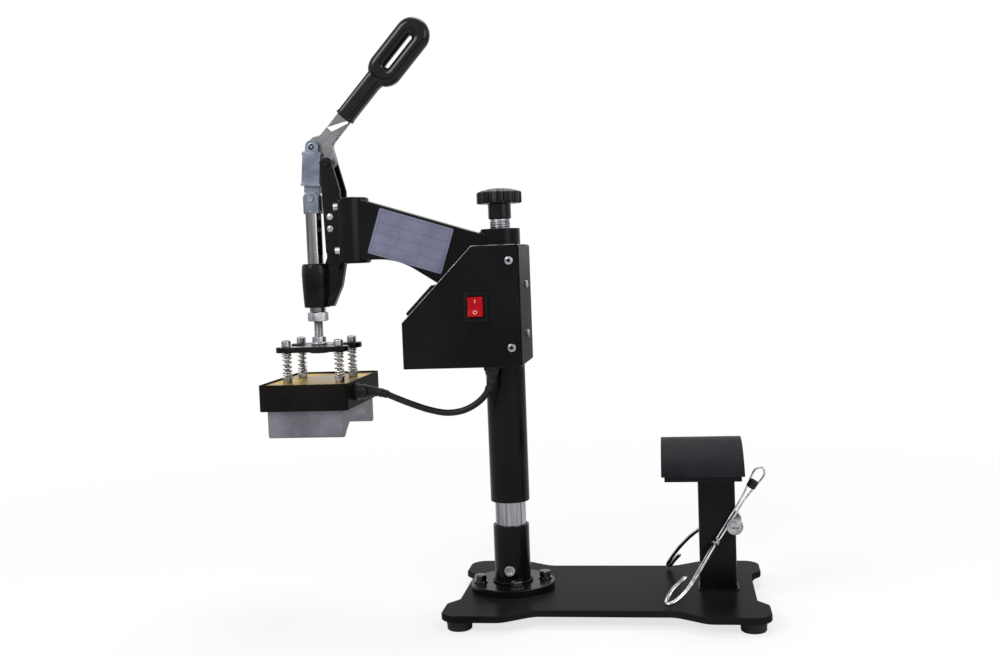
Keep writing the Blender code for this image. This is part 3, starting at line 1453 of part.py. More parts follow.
def make_switch():
    """Switch housing with its bezel, the red rocker, and the gland under the box."""
    x, _, z = rocker_spot
    face = -box_half_width - seat_gap
    made = piece("switch_housing",
                 prism(rectangle((x - switch_width / 2, z - switch_height / 2),
                                 (x + switch_width / 2, z + switch_height / 2)),
                       face - bezel_thickness / 2, face + switch_depth, "Y"), plastic, arm)
    bezel = rounded_rectangle((x - bezel_width / 2, z - bezel_height / 2),
                              (x + bezel_width / 2, z + bezel_height / 2), 2 * bezel_thickness / 3, 2)
    weld(made, prism(bezel, face - bezel_thickness, face, "Y"))
    half_w = rocker_half_width + running_gap
    half_h = switch_height / 2 - switch_wall
    cut(made, prism(rectangle((x - half_w, z - half_h), (x + half_w, z + half_h)),
                    face - bezel_thickness - overrun, face + switch_depth - switch_wall, "Y"))
    depth = rocker_spot[1]
    lens = [(depth - rocker_crest, z + rocker_half_height), (depth - rocker_valley, z),
            (depth - rocker_crest, z - rocker_half_height), (depth + rocker_valley, z - rocker_half_height * 0.8),
            (depth + rocker_crest * 1.4, z), (depth + rocker_valley, z + rocker_half_height * 0.8)]
    shape = prism(lens, x - rocker_half_width, x + rocker_half_width, "X")
    turn_about(shape, rocker_spot, -rocker_rest, "X")
    piece("switch_rocker", shape, red_plastic, rocker)

    spot = (column_x - box_gland_reach, box_gland_side, 0)
    tube = lead_radius + gland_gap
    low = box_floor - seat_gap
    profile = [(tube, low + 2 * sheet + 2 * seat_gap), (box_gland_radius * 0.75, low + 2 * sheet + 2 * seat_gap),
               (box_gland_radius * 0.75, low), (box_gland_nut, low), (box_gland_nut, low - box_gland_length * 0.4),
               (box_gland_radius, low - box_gland_length * 0.5), (box_gland_radius * 0.8, low - box_gland_length),
               (tube, low - box_gland_length)]
    piece("box_gland", turned(profile, spot, steps=16), rubber, arm)


make_box()
make_controller()
make_switch()

# Heater lead, held at both ends, from the head's gland up into the control box
lead_inset = 0.004
lead_sag = 0.0283
lead_route_shares = ((0.1122, 0.117), (0.2030, 0.318), (0.3340, 0.601), (0.4751, 0.855), (0.6230, 1.0),
                     (0.7641, 0.894), (0.8851, 0.548), (0.9644, 0.071))


def make_lead():
    """A plain tube along the lead's route, ending inside the two glands."""
    outlet = head_x + head_length / 2 + gland_length
    inlet = box_floor - box_gland_length
    gland_x = column_x - box_gland_reach
    start = Vector((outlet, gland_side, gland_height))
    run = Vector((gland_x - outlet, box_gland_side - gland_side, 0))
    route = [start - Vector((lead_inset, 0, 0)), start + Vector((lead_inset / 2, 0, 0))]
    route += [start + run * along - Vector((0, 0, lead_sag * drop)) for along, drop in lead_route_shares]
    route += [Vector((gland_x, box_gland_side, inlet - lead_inset / 2)),
              Vector((gland_x, box_gland_side, inlet + lead_inset))]
    data = bpy.data.curves.new("heater_lead", "CURVE")
    data.dimensions = "3D"
    data.bevel_depth = lead_radius
    data.bevel_resolution = 2
    data.use_fill_caps = True
    points = smooth(route, 2)
    line = data.splines.new("POLY")
    line.points.add(len(points) - 1)
    for point, spot in zip(line.points, points):
        point.co = (*(spot - spot_of(arm)), 1.0)
    data.materials.append(rubber)
    made = bpy.data.objects.new("heater_lead", data)
    collection.objects.link(made)
    made.parent = arm


make_lead()
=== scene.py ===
"""Looks of the cap heat press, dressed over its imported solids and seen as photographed."""
import math

import bmesh
import bpy
import numpy as np
from mathutils import Matrix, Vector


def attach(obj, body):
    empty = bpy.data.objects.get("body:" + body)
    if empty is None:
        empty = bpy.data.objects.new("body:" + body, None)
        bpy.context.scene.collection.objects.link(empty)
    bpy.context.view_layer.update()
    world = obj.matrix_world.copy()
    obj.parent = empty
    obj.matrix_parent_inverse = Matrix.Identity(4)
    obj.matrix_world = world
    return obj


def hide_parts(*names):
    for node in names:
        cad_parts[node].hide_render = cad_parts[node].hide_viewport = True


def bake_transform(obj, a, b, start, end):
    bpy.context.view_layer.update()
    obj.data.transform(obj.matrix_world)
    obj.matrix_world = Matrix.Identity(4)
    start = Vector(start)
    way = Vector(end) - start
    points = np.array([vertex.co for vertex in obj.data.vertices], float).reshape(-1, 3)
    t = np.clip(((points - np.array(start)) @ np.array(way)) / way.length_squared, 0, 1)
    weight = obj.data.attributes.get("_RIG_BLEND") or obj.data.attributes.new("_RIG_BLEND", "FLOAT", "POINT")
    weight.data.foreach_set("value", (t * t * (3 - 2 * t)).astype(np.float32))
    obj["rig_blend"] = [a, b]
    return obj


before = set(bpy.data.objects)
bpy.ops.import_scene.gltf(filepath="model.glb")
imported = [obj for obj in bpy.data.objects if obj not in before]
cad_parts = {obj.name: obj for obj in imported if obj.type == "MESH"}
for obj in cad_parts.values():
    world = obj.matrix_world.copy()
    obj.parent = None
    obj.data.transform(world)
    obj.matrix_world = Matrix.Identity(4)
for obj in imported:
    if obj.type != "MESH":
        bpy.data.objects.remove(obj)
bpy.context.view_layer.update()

# The view. The camera was fitted to the photograph: it stands 1.46 m in front of the
# press at the arm's height, turned a little to the left and tipped a little down.
view_turn, view_tip, view_lean = -0.1442, -0.0605, -0.0376
view_place = (0.19835, -1.45904, 0.43446)
view_ahead = np.array([math.sin(view_turn) * math.cos(view_tip),
                       math.cos(view_turn) * math.cos(view_tip), math.sin(view_tip)])
view_level = np.array([math.cos(view_turn), -math.sin(view_turn), 0.0])
view_upright = np.cross(view_level, view_ahead)
view_right = math.cos(view_lean) * view_level + math.sin(view_lean) * view_upright
view_up = math.cos(view_lean) * view_upright - math.sin(view_lean) * view_level
photo_camera = bpy.data.objects.new("photo_camera", bpy.data.cameras.new("photo_camera"))
photo_camera.data.sensor_width = 36.0
photo_camera.data.lens = 43.0
photo_camera.data.clip_end = 60.0
photo_camera.matrix_world = Matrix([[view_right[i], view_up[i], -view_ahead[i], view_place[i]]
                                    for i in range(3)] + [[0, 0, 0, 1]])
bpy.context.collection.objects.link(photo_camera)
bpy.context.scene.camera = photo_camera


# The heater lead. A stiff black rubber flex, 8 mm thick, held at both ends: it leaves the
# head's moulded gland, sags, and climbs into the gland under the control box.
def follow(points, per_span):
    """Catmull-Rom curve through the points: each span is the cubic of its four neighbours."""
    spots = np.array(points, float)
    spots = np.vstack([2 * spots[0] - spots[1], spots, 2 * spots[-1] - spots[-2]])
    t = (np.arange(per_span) / per_span)[:, None]
    spans = [0.5 * (2 * b + (c - a) * t + (2 * a - 5 * b + 4 * c - d) * t ** 2
                    + (3 * b - a - 3 * c + d) * t ** 3)
             for a, b, c, d in zip(spots, spots[1:], spots[2:], spots[3:])]
    return np.vstack(spans + [spots[-2:-1]])


def grid_mesh(name, points, wrap_rows=False, caps=True, sharp=35):
    """A mesh from rows of points, each row a closed ring; the end rows are closed by caps."""
    rows, columns = points.shape[:2]
    index = np.arange(rows * columns).reshape(rows, columns)
    here = index if wrap_rows else index[:-1]
    after = np.roll(index, -1, axis=0) if wrap_rows else index[1:]
    quads = np.stack([here, np.roll(here, -1, axis=1), np.roll(after, -1, axis=1), after], axis=-1)
    faces = quads.reshape(-1, 4).tolist()
    if caps and not wrap_rows:
        faces += [index[0][::-1].tolist(), index[-1].tolist()]
    data = bpy.data.meshes.new(name)
    data.from_pydata(points.reshape(-1, 3).tolist(), [], faces)
    shape = bmesh.new()
    shape.from_mesh(data)
    bmesh.ops.recalc_face_normals(shape, faces=shape.faces)
    shape.to_mesh(data)
    shape.free()
    data.shade_smooth()
    data.set_sharp_from_angle(angle=math.radians(sharp))
    made = bpy.data.objects.new(name, data)
    bpy.context.collection.objects.link(made)
    return made


def swept(name, path, radius, around=16, closed=False):
    """A circle carried along a path; its spokes turn as little as the path allows."""
    path = np.array(path, float)
    before = np.roll(path, 1, axis=0)
    after = np.roll(path, -1, axis=0)
    if not closed:
        before[0], after[-1] = path[0], path[-1]
    along = after - before
    along /= np.linalg.norm(along, axis=1)[:, None]
    spoke = np.cross(along[0], [0.31, 0.87, 0.38])
    spokes = []
    for way in along:
        spoke = spoke - way * spoke.dot(way)
        spoke /= np.linalg.norm(spoke)
        spokes.append(spoke)
    spokes = np.array(spokes)
    others = np.cross(along, spokes)
    turn = 2 * np.pi * np.arange(around) / around
    radius = np.broadcast_to(np.asarray(radius, float), len(path))[:, None, None]
    ring = (np.cos(turn)[None, :, None] * spokes[:, None, :]
            + np.sin(turn)[None, :, None] * others[:, None, :])
    return grid_mesh(name, path[:, None, :] + radius * ring, wrap_rows=closed, sharp=50)


def finish_with(piece, material, body, slot, replaced=()):
    """Give a new piece its material and its body, and hide the solids it stands for; slot is not used.
    On a piece that rides one body, wide faces set the normals, so that flat sides look flat."""
    piece.data.materials.clear()
    piece.data.materials.append(material)
    if body:
        piece.modifiers.new("flat_sides", "WEIGHTED_NORMAL").keep_sharp = True
        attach(piece, body)
    if replaced:
        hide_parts(*replaced)
    return piece


def grain_group():
    """Shader group: fine bumps and slow blotches from two noises in the object's space."""
    group = bpy.data.node_groups.new("surface_grain", "ShaderNodeTree")
    for label, value in (("Fine Scale", 900.0), ("Blotch Scale", 14.0), ("Stretch X", 1.0),
                         ("Stretch Y", 1.0), ("Stretch Z", 1.0), ("Turn", 0.0)):
        socket = group.interface.new_socket(label, in_out="INPUT", socket_type="NodeSocketFloat")
        socket.default_value = value
    group.interface.new_socket("Fine", in_out="OUTPUT", socket_type="NodeSocketFloat")
    group.interface.new_socket("Blotch", in_out="OUTPUT", socket_type="NodeSocketFloat")
    nodes, links = group.nodes, group.links
    entry, leave = nodes.new("NodeGroupInput"), nodes.new("NodeGroupOutput")
    place, stretch = nodes.new("ShaderNodeTexCoord"), nodes.new("ShaderNodeCombineXYZ")
    product = nodes.new("ShaderNodeVectorMath")
    product.operation = "MULTIPLY"
    for socket, label in zip(stretch.inputs, ("Stretch X", "Stretch Y", "Stretch Z")):
        links.new(entry.outputs[label], socket)
    turned_place = nodes.new("ShaderNodeVectorRotate")
    turned_place.rotation_type = "Y_AXIS"
    links.new(place.outputs["Object"], turned_place.inputs["Vector"])
    links.new(entry.outputs["Turn"], turned_place.inputs["Angle"])
    links.new(turned_place.outputs[0], product.inputs[0])
    links.new(stretch.outputs[0], product.inputs[1])
    for label, detail, source in (("Fine", 3.0, product.outputs[0]),
                                  ("Blotch", 5.0, place.outputs["Object"])):
        noise = nodes.new("ShaderNodeTexNoise")
        noise.inputs["Detail"].default_value = detail
        links.new(source, noise.inputs["Vector"])
        links.new(entry.outputs[label + " Scale"], noise.inputs["Scale"])
        links.new(noise.outputs["Fac"], leave.inputs[label])
    return group


def wear_group():
    """Shader group: 1 where the rounded normal leaves the true one, broken up by a noise."""
    group = bpy.data.node_groups.new("edge_wear", "ShaderNodeTree")
    for label, value in (("Radius", 0.001), ("Patch Scale", 160.0)):
        socket = group.interface.new_socket(label, in_out="INPUT", socket_type="NodeSocketFloat")
        socket.default_value = value
    group.interface.new_socket("Edge", in_out="OUTPUT", socket_type="NodeSocketFloat")
    nodes, links = group.nodes, group.links
    entry, leave = nodes.new("NodeGroupInput"), nodes.new("NodeGroupOutput")
    eased, true_way = nodes.new("ShaderNodeBevel"), nodes.new("ShaderNodeNewGeometry")
    eased.samples = 4
    agree, lost = nodes.new("ShaderNodeVectorMath"), nodes.new("ShaderNodeMapRange")
    agree.operation = "DOT_PRODUCT"
    for label, value in (("From Min", 0.98), ("From Max", 0.80), ("To Min", 0.0), ("To Max", 1.0)):
        lost.inputs[label].default_value = value
    place, patch = nodes.new("ShaderNodeTexCoord"), nodes.new("ShaderNodeTexNoise")
    broken, both = nodes.new("ShaderNodeMapRange"), nodes.new("ShaderNodeMath")
    broken.inputs["From Min"].default_value = 0.40
    broken.inputs["From Max"].default_value = 0.60
    both.operation = "MULTIPLY"
    links.new(entry.outputs["Radius"], eased.inputs["Radius"])
    links.new(eased.outputs["Normal"], agree.inputs[0])
    links.new(true_way.outputs["Normal"], agree.inputs[1])
    links.new(agree.outputs["Value"], lost.inputs["Value"])
    links.new(place.outputs["Object"], patch.inputs["Vector"])
    links.new(entry.outputs["Patch Scale"], patch.inputs["Scale"])
    links.new(patch.outputs["Fac"], broken.inputs["Value"])
    links.new(lost.outputs["Result"], both.inputs[0])
    links.new(broken.outputs["Result"], both.inputs[1])
    links.new(both.outputs[0], leave.inputs["Edge"])
    return group


surface_grain, edge_wear = grain_group(), wear_group()


def material_of(name, dark, pale, rough, metallic=0.0, fine=900.0, blotch=14.0, turn=0.0, worn=None,
                stretch=(1.0, 1.0, 1.0), bump=0.1, depth=0.0002, level=0.5, drive="Blotch"):
    """A finish: colour and roughness drift with the blotches, the fine grain is its bump, and
    its edges are rubbed to the worn colour where one is given."""
    made = bpy.data.materials.new(name)
    made.use_nodes = True
    nodes, links = made.node_tree.nodes, made.node_tree.links
    shader = nodes["Principled BSDF"]
    shader.inputs["Metallic"].default_value = metallic
    shader.inputs["Specular IOR Level"].default_value = level
    grain = nodes.new("ShaderNodeGroup")
    grain.name = "grain"
    grain.node_tree = surface_grain
    grain.inputs["Fine Scale"].default_value = fine
    grain.inputs["Blotch Scale"].default_value = blotch
    for label, value in zip(("Stretch X", "Stretch Y", "Stretch Z", "Turn"), (*stretch, turn)):
        grain.inputs[label].default_value = value
    tint = nodes.new("ShaderNodeMix")
    tint.name = "tint"
    tint.data_type = "RGBA"
    tint.inputs["A"].default_value = (*dark, 1.0)
    tint.inputs["B"].default_value = (*pale, 1.0)
    spread = nodes.new("ShaderNodeMapRange")
    spread.inputs["From Min"].default_value = 0.35
    spread.inputs["From Max"].default_value = 0.65
    links.new(grain.outputs[drive], spread.inputs["Value"])
    links.new(spread.outputs["Result"], tint.inputs["Factor"])
    links.new(tint.outputs["Result"], shader.inputs["Base Color"])
    if worn:
        rubbed, over = nodes.new("ShaderNodeGroup"), nodes.new("ShaderNodeMix")
        rubbed.node_tree = edge_wear
        over.data_type = "RGBA"
        over.inputs["B"].default_value = (*worn, 1.0)
        links.new(rubbed.outputs["Edge"], over.inputs["Factor"])
        links.new(tint.outputs["Result"], over.inputs["A"])
        links.new(over.outputs["Result"], shader.inputs["Base Color"])
    gloss = nodes.new("ShaderNodeMapRange")
    gloss.inputs["From Min"].default_value = 0.3
    gloss.inputs["From Max"].default_value = 0.7
    gloss.inputs["To Min"].default_value = rough[0]
    gloss.inputs["To Max"].default_value = rough[1]
    links.new(grain.outputs["Blotch"], gloss.inputs["Value"])
    links.new(gloss.outputs["Result"], shader.inputs["Roughness"])
    relief = nodes.new("ShaderNodeBump")
    relief.name = "relief"
    relief.inputs["Strength"].default_value = bump
    relief.inputs["Distance"].default_value = depth
    links.new(grain.outputs["Fine"], relief.inputs["Height"])
    links.new(relief.outputs["Normal"], shader.inputs["Normal"])
    return made


lead_rubber = material_of("lead_rubber", (0.0045, 0.0045, 0.0050), (0.010, 0.0095, 0.010),
                          (0.34, 0.48), fine=1600.0, blotch=30.0, bump=0.15, depth=0.0001,
                          level=0.18)
lead_route = [(-0.1727, -0.0410, 0.2745), (-0.1667, -0.0410, 0.2745), (-0.1520, -0.0408, 0.2712),
              (-0.1385, -0.0406, 0.2655), (-0.1190, -0.0403, 0.2575), (-0.0980, -0.0400, 0.2503),
              (-0.0760, -0.0397, 0.2462), (-0.0550, -0.0395, 0.2492), (-0.0370, -0.0392, 0.2590),
              (-0.0252, -0.0391, 0.2725), (-0.0199, -0.0390, 0.2880), (-0.0199, -0.0390, 0.2940)]
lead_path = follow(lead_route, 12)
heater_flex = swept("heater_flex", lead_path, 0.00395, 24)
finish_with(heater_flex, lead_rubber, None, "rubber", ("heater_lead",))
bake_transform(heater_flex, "arm", "plunger", start=(-0.0250, -0.040, 0.2700),
         end=(-0.1640, -0.040, 0.2700))

# The studio: a pale floor, a white surround, and three soft lamps at a plain level.
# The floor keeps a soft shadow round the feet and fades to white paper away from them.
floor_data = bpy.data.meshes.new("studio_floor")
floor_data.from_pydata([(-40, -40, 0), (40, -40, 0), (40, 40, 0), (-40, 40, 0)], [], [(0, 1, 2, 3)])
studio_floor = bpy.data.objects.new("studio_floor", floor_data)
bpy.context.collection.objects.link(studio_floor)
floor_paper = bpy.data.materials.new("floor_paper")
floor_paper.use_nodes = True
paper_nodes, paper_links = floor_paper.node_tree.nodes, floor_paper.node_tree.links
paper_nodes["Principled BSDF"].inputs["Base Color"].default_value = (0.90, 0.90, 0.90, 1.0)
paper_nodes["Principled BSDF"].inputs["Roughness"].default_value = 0.9
paper_nodes["Principled BSDF"].inputs["Specular IOR Level"].default_value = 0.0
paper_glow = paper_nodes.new("ShaderNodeEmission")
paper_rays = paper_nodes.new("ShaderNodeLightPath")
paper_seen = paper_nodes.new("ShaderNodeMath")
paper_seen.operation = "MULTIPLY"
paper_spot, paper_reach = paper_nodes.new("ShaderNodeTexCoord"), paper_nodes.new("ShaderNodeVectorMath")
paper_reach.operation = "LENGTH"
paper_fade = paper_nodes.new("ShaderNodeMapRange")
paper_fade.interpolation_type = "SMOOTHSTEP"
for paper_label, paper_value in (("From Min", 0.35), ("From Max", 1.5), ("To Min", 0.74), ("To Max", 1.0)):
    paper_fade.inputs[paper_label].default_value = paper_value
paper_links.new(paper_spot.outputs["Object"], paper_reach.inputs[0])
paper_links.new(paper_reach.outputs["Value"], paper_fade.inputs["Value"])
paper_links.new(paper_fade.outputs["Result"], paper_seen.inputs[1])
paper_mix = paper_nodes.new("ShaderNodeMixShader")
paper_links.new(paper_rays.outputs["Is Camera Ray"], paper_seen.inputs[0])
paper_links.new(paper_seen.outputs[0], paper_mix.inputs["Fac"])
paper_links.new(paper_nodes["Principled BSDF"].outputs[0], paper_mix.inputs[1])
paper_links.new(paper_glow.outputs[0], paper_mix.inputs[2])
paper_links.new(paper_mix.outputs[0], paper_nodes["Material Output"].inputs["Surface"])
floor_data.materials.append(floor_paper)

studio_world = bpy.data.worlds.new("studio_world")
bpy.context.scene.world = studio_world
studio_world.use_nodes = True
sky_nodes, sky_links = studio_world.node_tree.nodes, studio_world.node_tree.links
sky_rays = sky_nodes.new("ShaderNodeLightPath")
sky_seen = sky_nodes.new("ShaderNodeMath")
sky_seen.operation = "MAXIMUM"
sky_both = sky_nodes.new("ShaderNodeMath")
sky_both.operation = "MAXIMUM"
sky_level = sky_nodes.new("ShaderNodeMapRange")
sky_level.inputs["To Min"].default_value = 0.42
sky_level.inputs["To Max"].default_value = 1.0
sky_links.new(sky_rays.outputs["Is Camera Ray"], sky_seen.inputs[0])
sky_links.new(sky_rays.outputs["Is Glossy Ray"], sky_seen.inputs[1])
sky_links.new(sky_seen.outputs[0], sky_both.inputs[0])
sky_links.new(sky_rays.outputs["Is Transmission Ray"], sky_both.inputs[1])
sky_links.new(sky_both.outputs[0], sky_level.inputs["Value"])
sky_links.new(sky_level.outputs["Result"], sky_nodes["Background"].inputs["Strength"])
sky_nodes["Background"].inputs["Color"].default_value = (1.0, 1.0, 1.0, 1.0)

for lamp_name, lamp_place, lamp_aim, lamp_size, lamp_power in (
        ("key_lamp", (-1.5, -1.9, 1.9), (0.0, 0.0, 0.35), 1.2, 42.0),
        ("fill_lamp", (1.9, -1.5, 1.1), (0.0, 0.0, 0.3), 1.4, 20.0),
        ("top_lamp", (0.2, 0.7, 2.2), (0.0, 0.0, 0.3), 1.2, 22.0)):
    lamp = bpy.data.objects.new(lamp_name, bpy.data.lights.new(lamp_name, "AREA"))
    lamp.data.size = lamp_size
    lamp.data.energy = lamp_power
    lamp_way = np.array(lamp_aim) - np.array(lamp_place)
    lamp_way /= np.linalg.norm(lamp_way)
    lamp_side = np.cross(lamp_way, (0, 0, 1))
    lamp_side /= np.linalg.norm(lamp_side)
    lamp_over = np.cross(lamp_side, lamp_way)
    lamp.matrix_world = Matrix([[lamp_side[i], lamp_over[i], -lamp_way[i], lamp_place[i]]
                                for i in range(3)] + [[0, 0, 0, 1]])
    bpy.context.collection.objects.link(lamp)
bpy.context.scene.view_settings.view_transform = "Standard"

# Base plate. 8 mm steel, cut with full corners and a shallow waist, its edges rolled over,
# then powder coated in a glossy black that mirrors the column.
base_x, column_x, platen_x, head_x = 0.1101, -0.0087, 0.2275, -0.2449


def filleted(corners, steps=10):
    """An outline whose corners (p, q, radius) become arcs tangent to both of their sides."""
    corners = np.array(corners, float)
    points = []
    for before, corner, after in zip(np.roll(corners, 1, 0), corners, np.roll(corners, -1, 0)):
        back = (before - corner)[:2] / np.linalg.norm((before - corner)[:2])
        fore = (after - corner)[:2] / np.linalg.norm((after - corner)[:2])
        half = math.acos(max(-1.0, min(1.0, back.dot(fore)))) / 2
        if corner[2] == 0 or half > 1.55:
            points.append(corner[:2])
            continue
        middle = corner[:2] + (back + fore) / np.linalg.norm(back + fore) * corner[2] / math.sin(half)
        start = corner[:2] + back * corner[2] / math.tan(half) - middle
        stop = corner[:2] + fore * corner[2] / math.tan(half) - middle
        turn = math.atan2(start[0] * stop[1] - start[1] * stop[0], start.dot(stop))
        for share in np.linspace(0, 1, steps + 1):
            c, s = math.cos(turn * share), math.sin(turn * share)
            points.append(middle + (c * start[0] - s * start[1], s * start[0] + c * start[1]))
    return np.array(points)


def laid(across, up, along, axis):
    """Put an outline's two values and a depth in X, Y, Z order for the axis it is carried on."""
    order = {"X": (along, across, up), "Y": (across, along, up), "Z": (across, up, along)}[axis]
    return np.stack(np.broadcast_arrays(*order), axis=-1)


def slab(name, outline, low, high, axis, edge, arc=4):
    """An outline carried along an axis; a quarter circle rounds its rim at both ends."""
    outline = np.array(outline, float)
    if (np.roll(outline, -1, 0)[:, 0] * outline[:, 1] - outline[:, 0] * np.roll(outline, -1, 0)[:, 1]).sum() > 0:
        outline = outline[::-1]
    side = np.roll(outline, -1, 0) - outline
    side /= np.linalg.norm(side, axis=1)[:, None]
    inward = np.stack([-side[:, 1], side[:, 0]], 1)
    mitre = inward + np.roll(inward, 1, 0)
    mitre /= np.maximum((mitre * inward).sum(1), 0.4)[:, None]
    angle = np.linspace(0, np.pi / 2, arc + 1)
    inset = np.concatenate([edge * (1 - np.sin(angle)), edge * (1 - np.sin(angle))[::-1]])
    depth = np.concatenate([low + edge * (1 - np.cos(angle)), high - edge * (1 - np.cos(angle))[::-1]])
    flat = outline[None] + mitre[None] * inset[:, None, None]
    return grid_mesh(name, laid(flat[..., 0], flat[..., 1], depth[:, None], axis))


black_coat = material_of("black_powder_coat", (0.0022, 0.0021, 0.0026), (0.0052, 0.0048, 0.0060),
                         (0.17, 0.27), fine=520.0, blotch=9.0, bump=0.10, depth=0.00012, level=0.10,
                         worn=(0.045, 0.044, 0.047))
plate_half = [(0.177, 0.0554, 0.012), (0.190, 0.0731, 0.012), (0.190, 0.126, 0.020),
              (0.1178, 0.126, 0.025), (0.0817, 0.101, 0.025)]
plate_half += [(-p, q, r) for p, q, r in reversed(plate_half)]
plate_outline = filleted(plate_half + [(-p, -q, r) for p, q, r in plate_half], 12)
plate_outline = plate_outline + (base_x, 0)
base_coat = material_of("base_powder_coat", (0.0042, 0.0040, 0.0036), (0.0125, 0.0118, 0.0105), (0.24, 0.36),
                        fine=520.0, blotch=7.0, bump=0.14, depth=0.00012, level=0.010,
                        worn=(0.045, 0.044, 0.047))
finish_with(slab("pressed_base", plate_outline, 0.0127, 0.0207, "Z", 0.0016), base_coat,
            "stand", "black_coat", ("base_plate",))

# Feet. Four moulded rubber buttons screwed up under the corners of the plate, slightly
# flared where they stand, with a parting groove round each.


def turned(name, profile, centre, axis="Z", around=64, edge=0.0, ring=False):
    """A (radius, height) profile turned round an axis; edge rounds each of its corners."""
    profile = np.array(profile, float)
    if edge:
        eased = []
        ends = (0, len(profile) - 1) if not ring else ()
        for here, corner in enumerate(profile):
            if here in ends:
                eased.append(corner[None])
                continue
            back, fore = profile[here - 1] - corner, profile[(here + 1) % len(profile)] - corner
            reach = min(edge, 0.45 * np.linalg.norm(back), 0.45 * np.linalg.norm(fore))
            start, stop = [corner + way / max(np.linalg.norm(way), 1e-9) * reach for way in (back, fore)]
            t = np.linspace(0, 1, 5)[:, None]
            eased.append((1 - t) ** 2 * start + 2 * t * (1 - t) * corner + t ** 2 * stop)
        profile = np.vstack(eased)
    turn = 2 * np.pi * np.arange(around) / around
    radius, height = profile[:, :1], profile[:, 1:]
    points = laid(radius * np.cos(turn), radius * np.sin(turn), height + 0 * turn, axis)
    return grid_mesh(name, points + np.array(centre, float), wrap_rows=ring)


foot_rubber = material_of("foot_rubber", (0.0050, 0.0050, 0.0055), (0.012, 0.012, 0.013), (0.50, 0.70),
                          fine=2200.0, blotch=60.0, bump=0.3, depth=0.00015, level=0.2)
foot_profile = [(0.0005, 0.0), (0.0132, 0.0), (0.0145, 0.0012), (0.0148, 0.0040), (0.0143, 0.0046),
                (0.0148, 0.0052), (0.0155, 0.0110), (0.0153, 0.0124), (0.0005, 0.0124)]
for foot_number, (foot_x, foot_y) in enumerate(
        [(base_x + sx * 0.169, sy * 0.105) for sx in (-1, 1) for sy in (-1, 1)], 1):
    finish_with(turned("foot_button_%d" % foot_number, foot_profile, (foot_x, foot_y, 0), edge=0.0004),
                foot_rubber, "stand", "rubber", ("rubber_foot_%d" % foot_number,))

# Column foot. A turned black flange held by four blackened hexagon bolts on washers,
# with the socket tube welded on it and a grub screw that clamps the post.


def hexagon(name, across, low, high, centre, axis="Z", bore=0.0, turned_by=0.0, around=72, crown=0.0):
    """A hexagon head: radius is the flat's distance over the cosine from its middle, cut by
    a cone near each end; an optional bore or a crowned top closes it."""
    turn = 2 * np.pi * np.arange(around) / around
    flat = across / 2 / np.cos((turn - turned_by + np.pi / 6) % (np.pi / 3) - np.pi / 6)
    height = np.array([low, low + 0.0003, low + 0.0009, high - 0.0011, high - 0.0004, high])
    cone = across / 2 * np.array([1.00, 1.05, 1.16, 1.16, 1.06, 0.985])
    radius = np.minimum(flat[None], cone[:, None])
    if bore:
        inner = np.full((2, around), bore)
        radius = np.vstack([inner[:1], radius, inner[1:]])
        height = np.concatenate([[low + 0.0001], height, [high - 0.0001]])
    elif crown:
        inner = radius[-1:] * np.array([[0.9], [0.45], [0.02]])
        radius = np.vstack([radius, inner])
        height = np.concatenate([height, high + crown * np.array([0.3, 0.85, 1.0])])
    points = laid(radius * np.cos(turn), radius * np.sin(turn), height[:, None] + 0 * turn, axis)
    return grid_mesh(name, points + np.array(centre, float), wrap_rows=bool(bore))


zinc_plate = material_of("zinc_plate", (0.19, 0.20, 0.22), (0.44, 0.45, 0.47), (0.22, 0.38), 1.0,
                         fine=1300.0, blotch=90.0, bump=0.12, depth=0.0001)
oxide_steel = material_of("oxide_steel", (0.022, 0.022, 0.025), (0.080, 0.079, 0.085), (0.18, 0.34), 1.0,
                          fine=1300.0, blotch=70.0, bump=0.12, depth=0.0001, worn=(0.26, 0.26, 0.27))
flange_profile = [(0.0194, 0.0210), (0.0520, 0.0210), (0.0520, 0.0290), (0.0194, 0.0290)]
finish_with(turned("foot_flange", flange_profile, (column_x, 0, 0), edge=0.0011, around=128, ring=True),
            black_coat, "stand", "black_coat", ("column_flange",))
for bolt_number in range(4):
    bolt_turn = math.radians(14 + 90 * bolt_number)
    bolt_spot = (column_x + 0.0405 * math.cos(bolt_turn), 0.0405 * math.sin(bolt_turn), 0)
    washer = [(0.0020, 0.0290), (0.0085, 0.0290), (0.0085, 0.0306), (0.0020, 0.0306)]
    finish_with(turned("flange_washer_%d" % (bolt_number + 1), washer, bolt_spot, edge=0.0003),
                oxide_steel, "stand", "zinc")
    finish_with(hexagon("flange_bolt_%d" % (bolt_number + 1), 0.0130, 0.0306, 0.0382, bolt_spot,
                        turned_by=bolt_number * 0.7, crown=0.0006), oxide_steel, "stand", "zinc")
socket_profile = [(0.0194, 0.0293), (0.0223, 0.0293), (0.0223, 0.1008), (0.0194, 0.1008)]
finish_with(turned("socket_tube", socket_profile, (column_x, 0, 0), edge=0.0008, around=128, ring=True),
            black_coat, "stand", "black_coat", ("column_socket",))
grub_profile = [(0.0002, -0.0262), (0.0034, -0.0262), (0.0036, -0.0283), (0.0062, -0.0283),
                (0.0065, -0.0278), (0.0065, -0.0212), (0.0002, -0.0212)]
finish_with(turned("clamp_screw", grub_profile, (column_x, 0, 0.0470), "Y", edge=0.0003),
            zinc_plate, "stand", "zinc")
weld_turn = np.linspace(0, 2 * np.pi, 160, endpoint=False)
weld_wander = 0.0236 + 0.00025 * np.sin(37 * weld_turn)
weld_path = np.stack([column_x + weld_wander * np.cos(weld_turn), weld_wander * np.sin(weld_turn),
                      0.0303 + 0.0002 * np.sin(41 * weld_turn)], 1)
finish_with(swept("socket_weld", weld_path, 0.0015, 10, closed=True), black_coat, "stand", "black_coat")
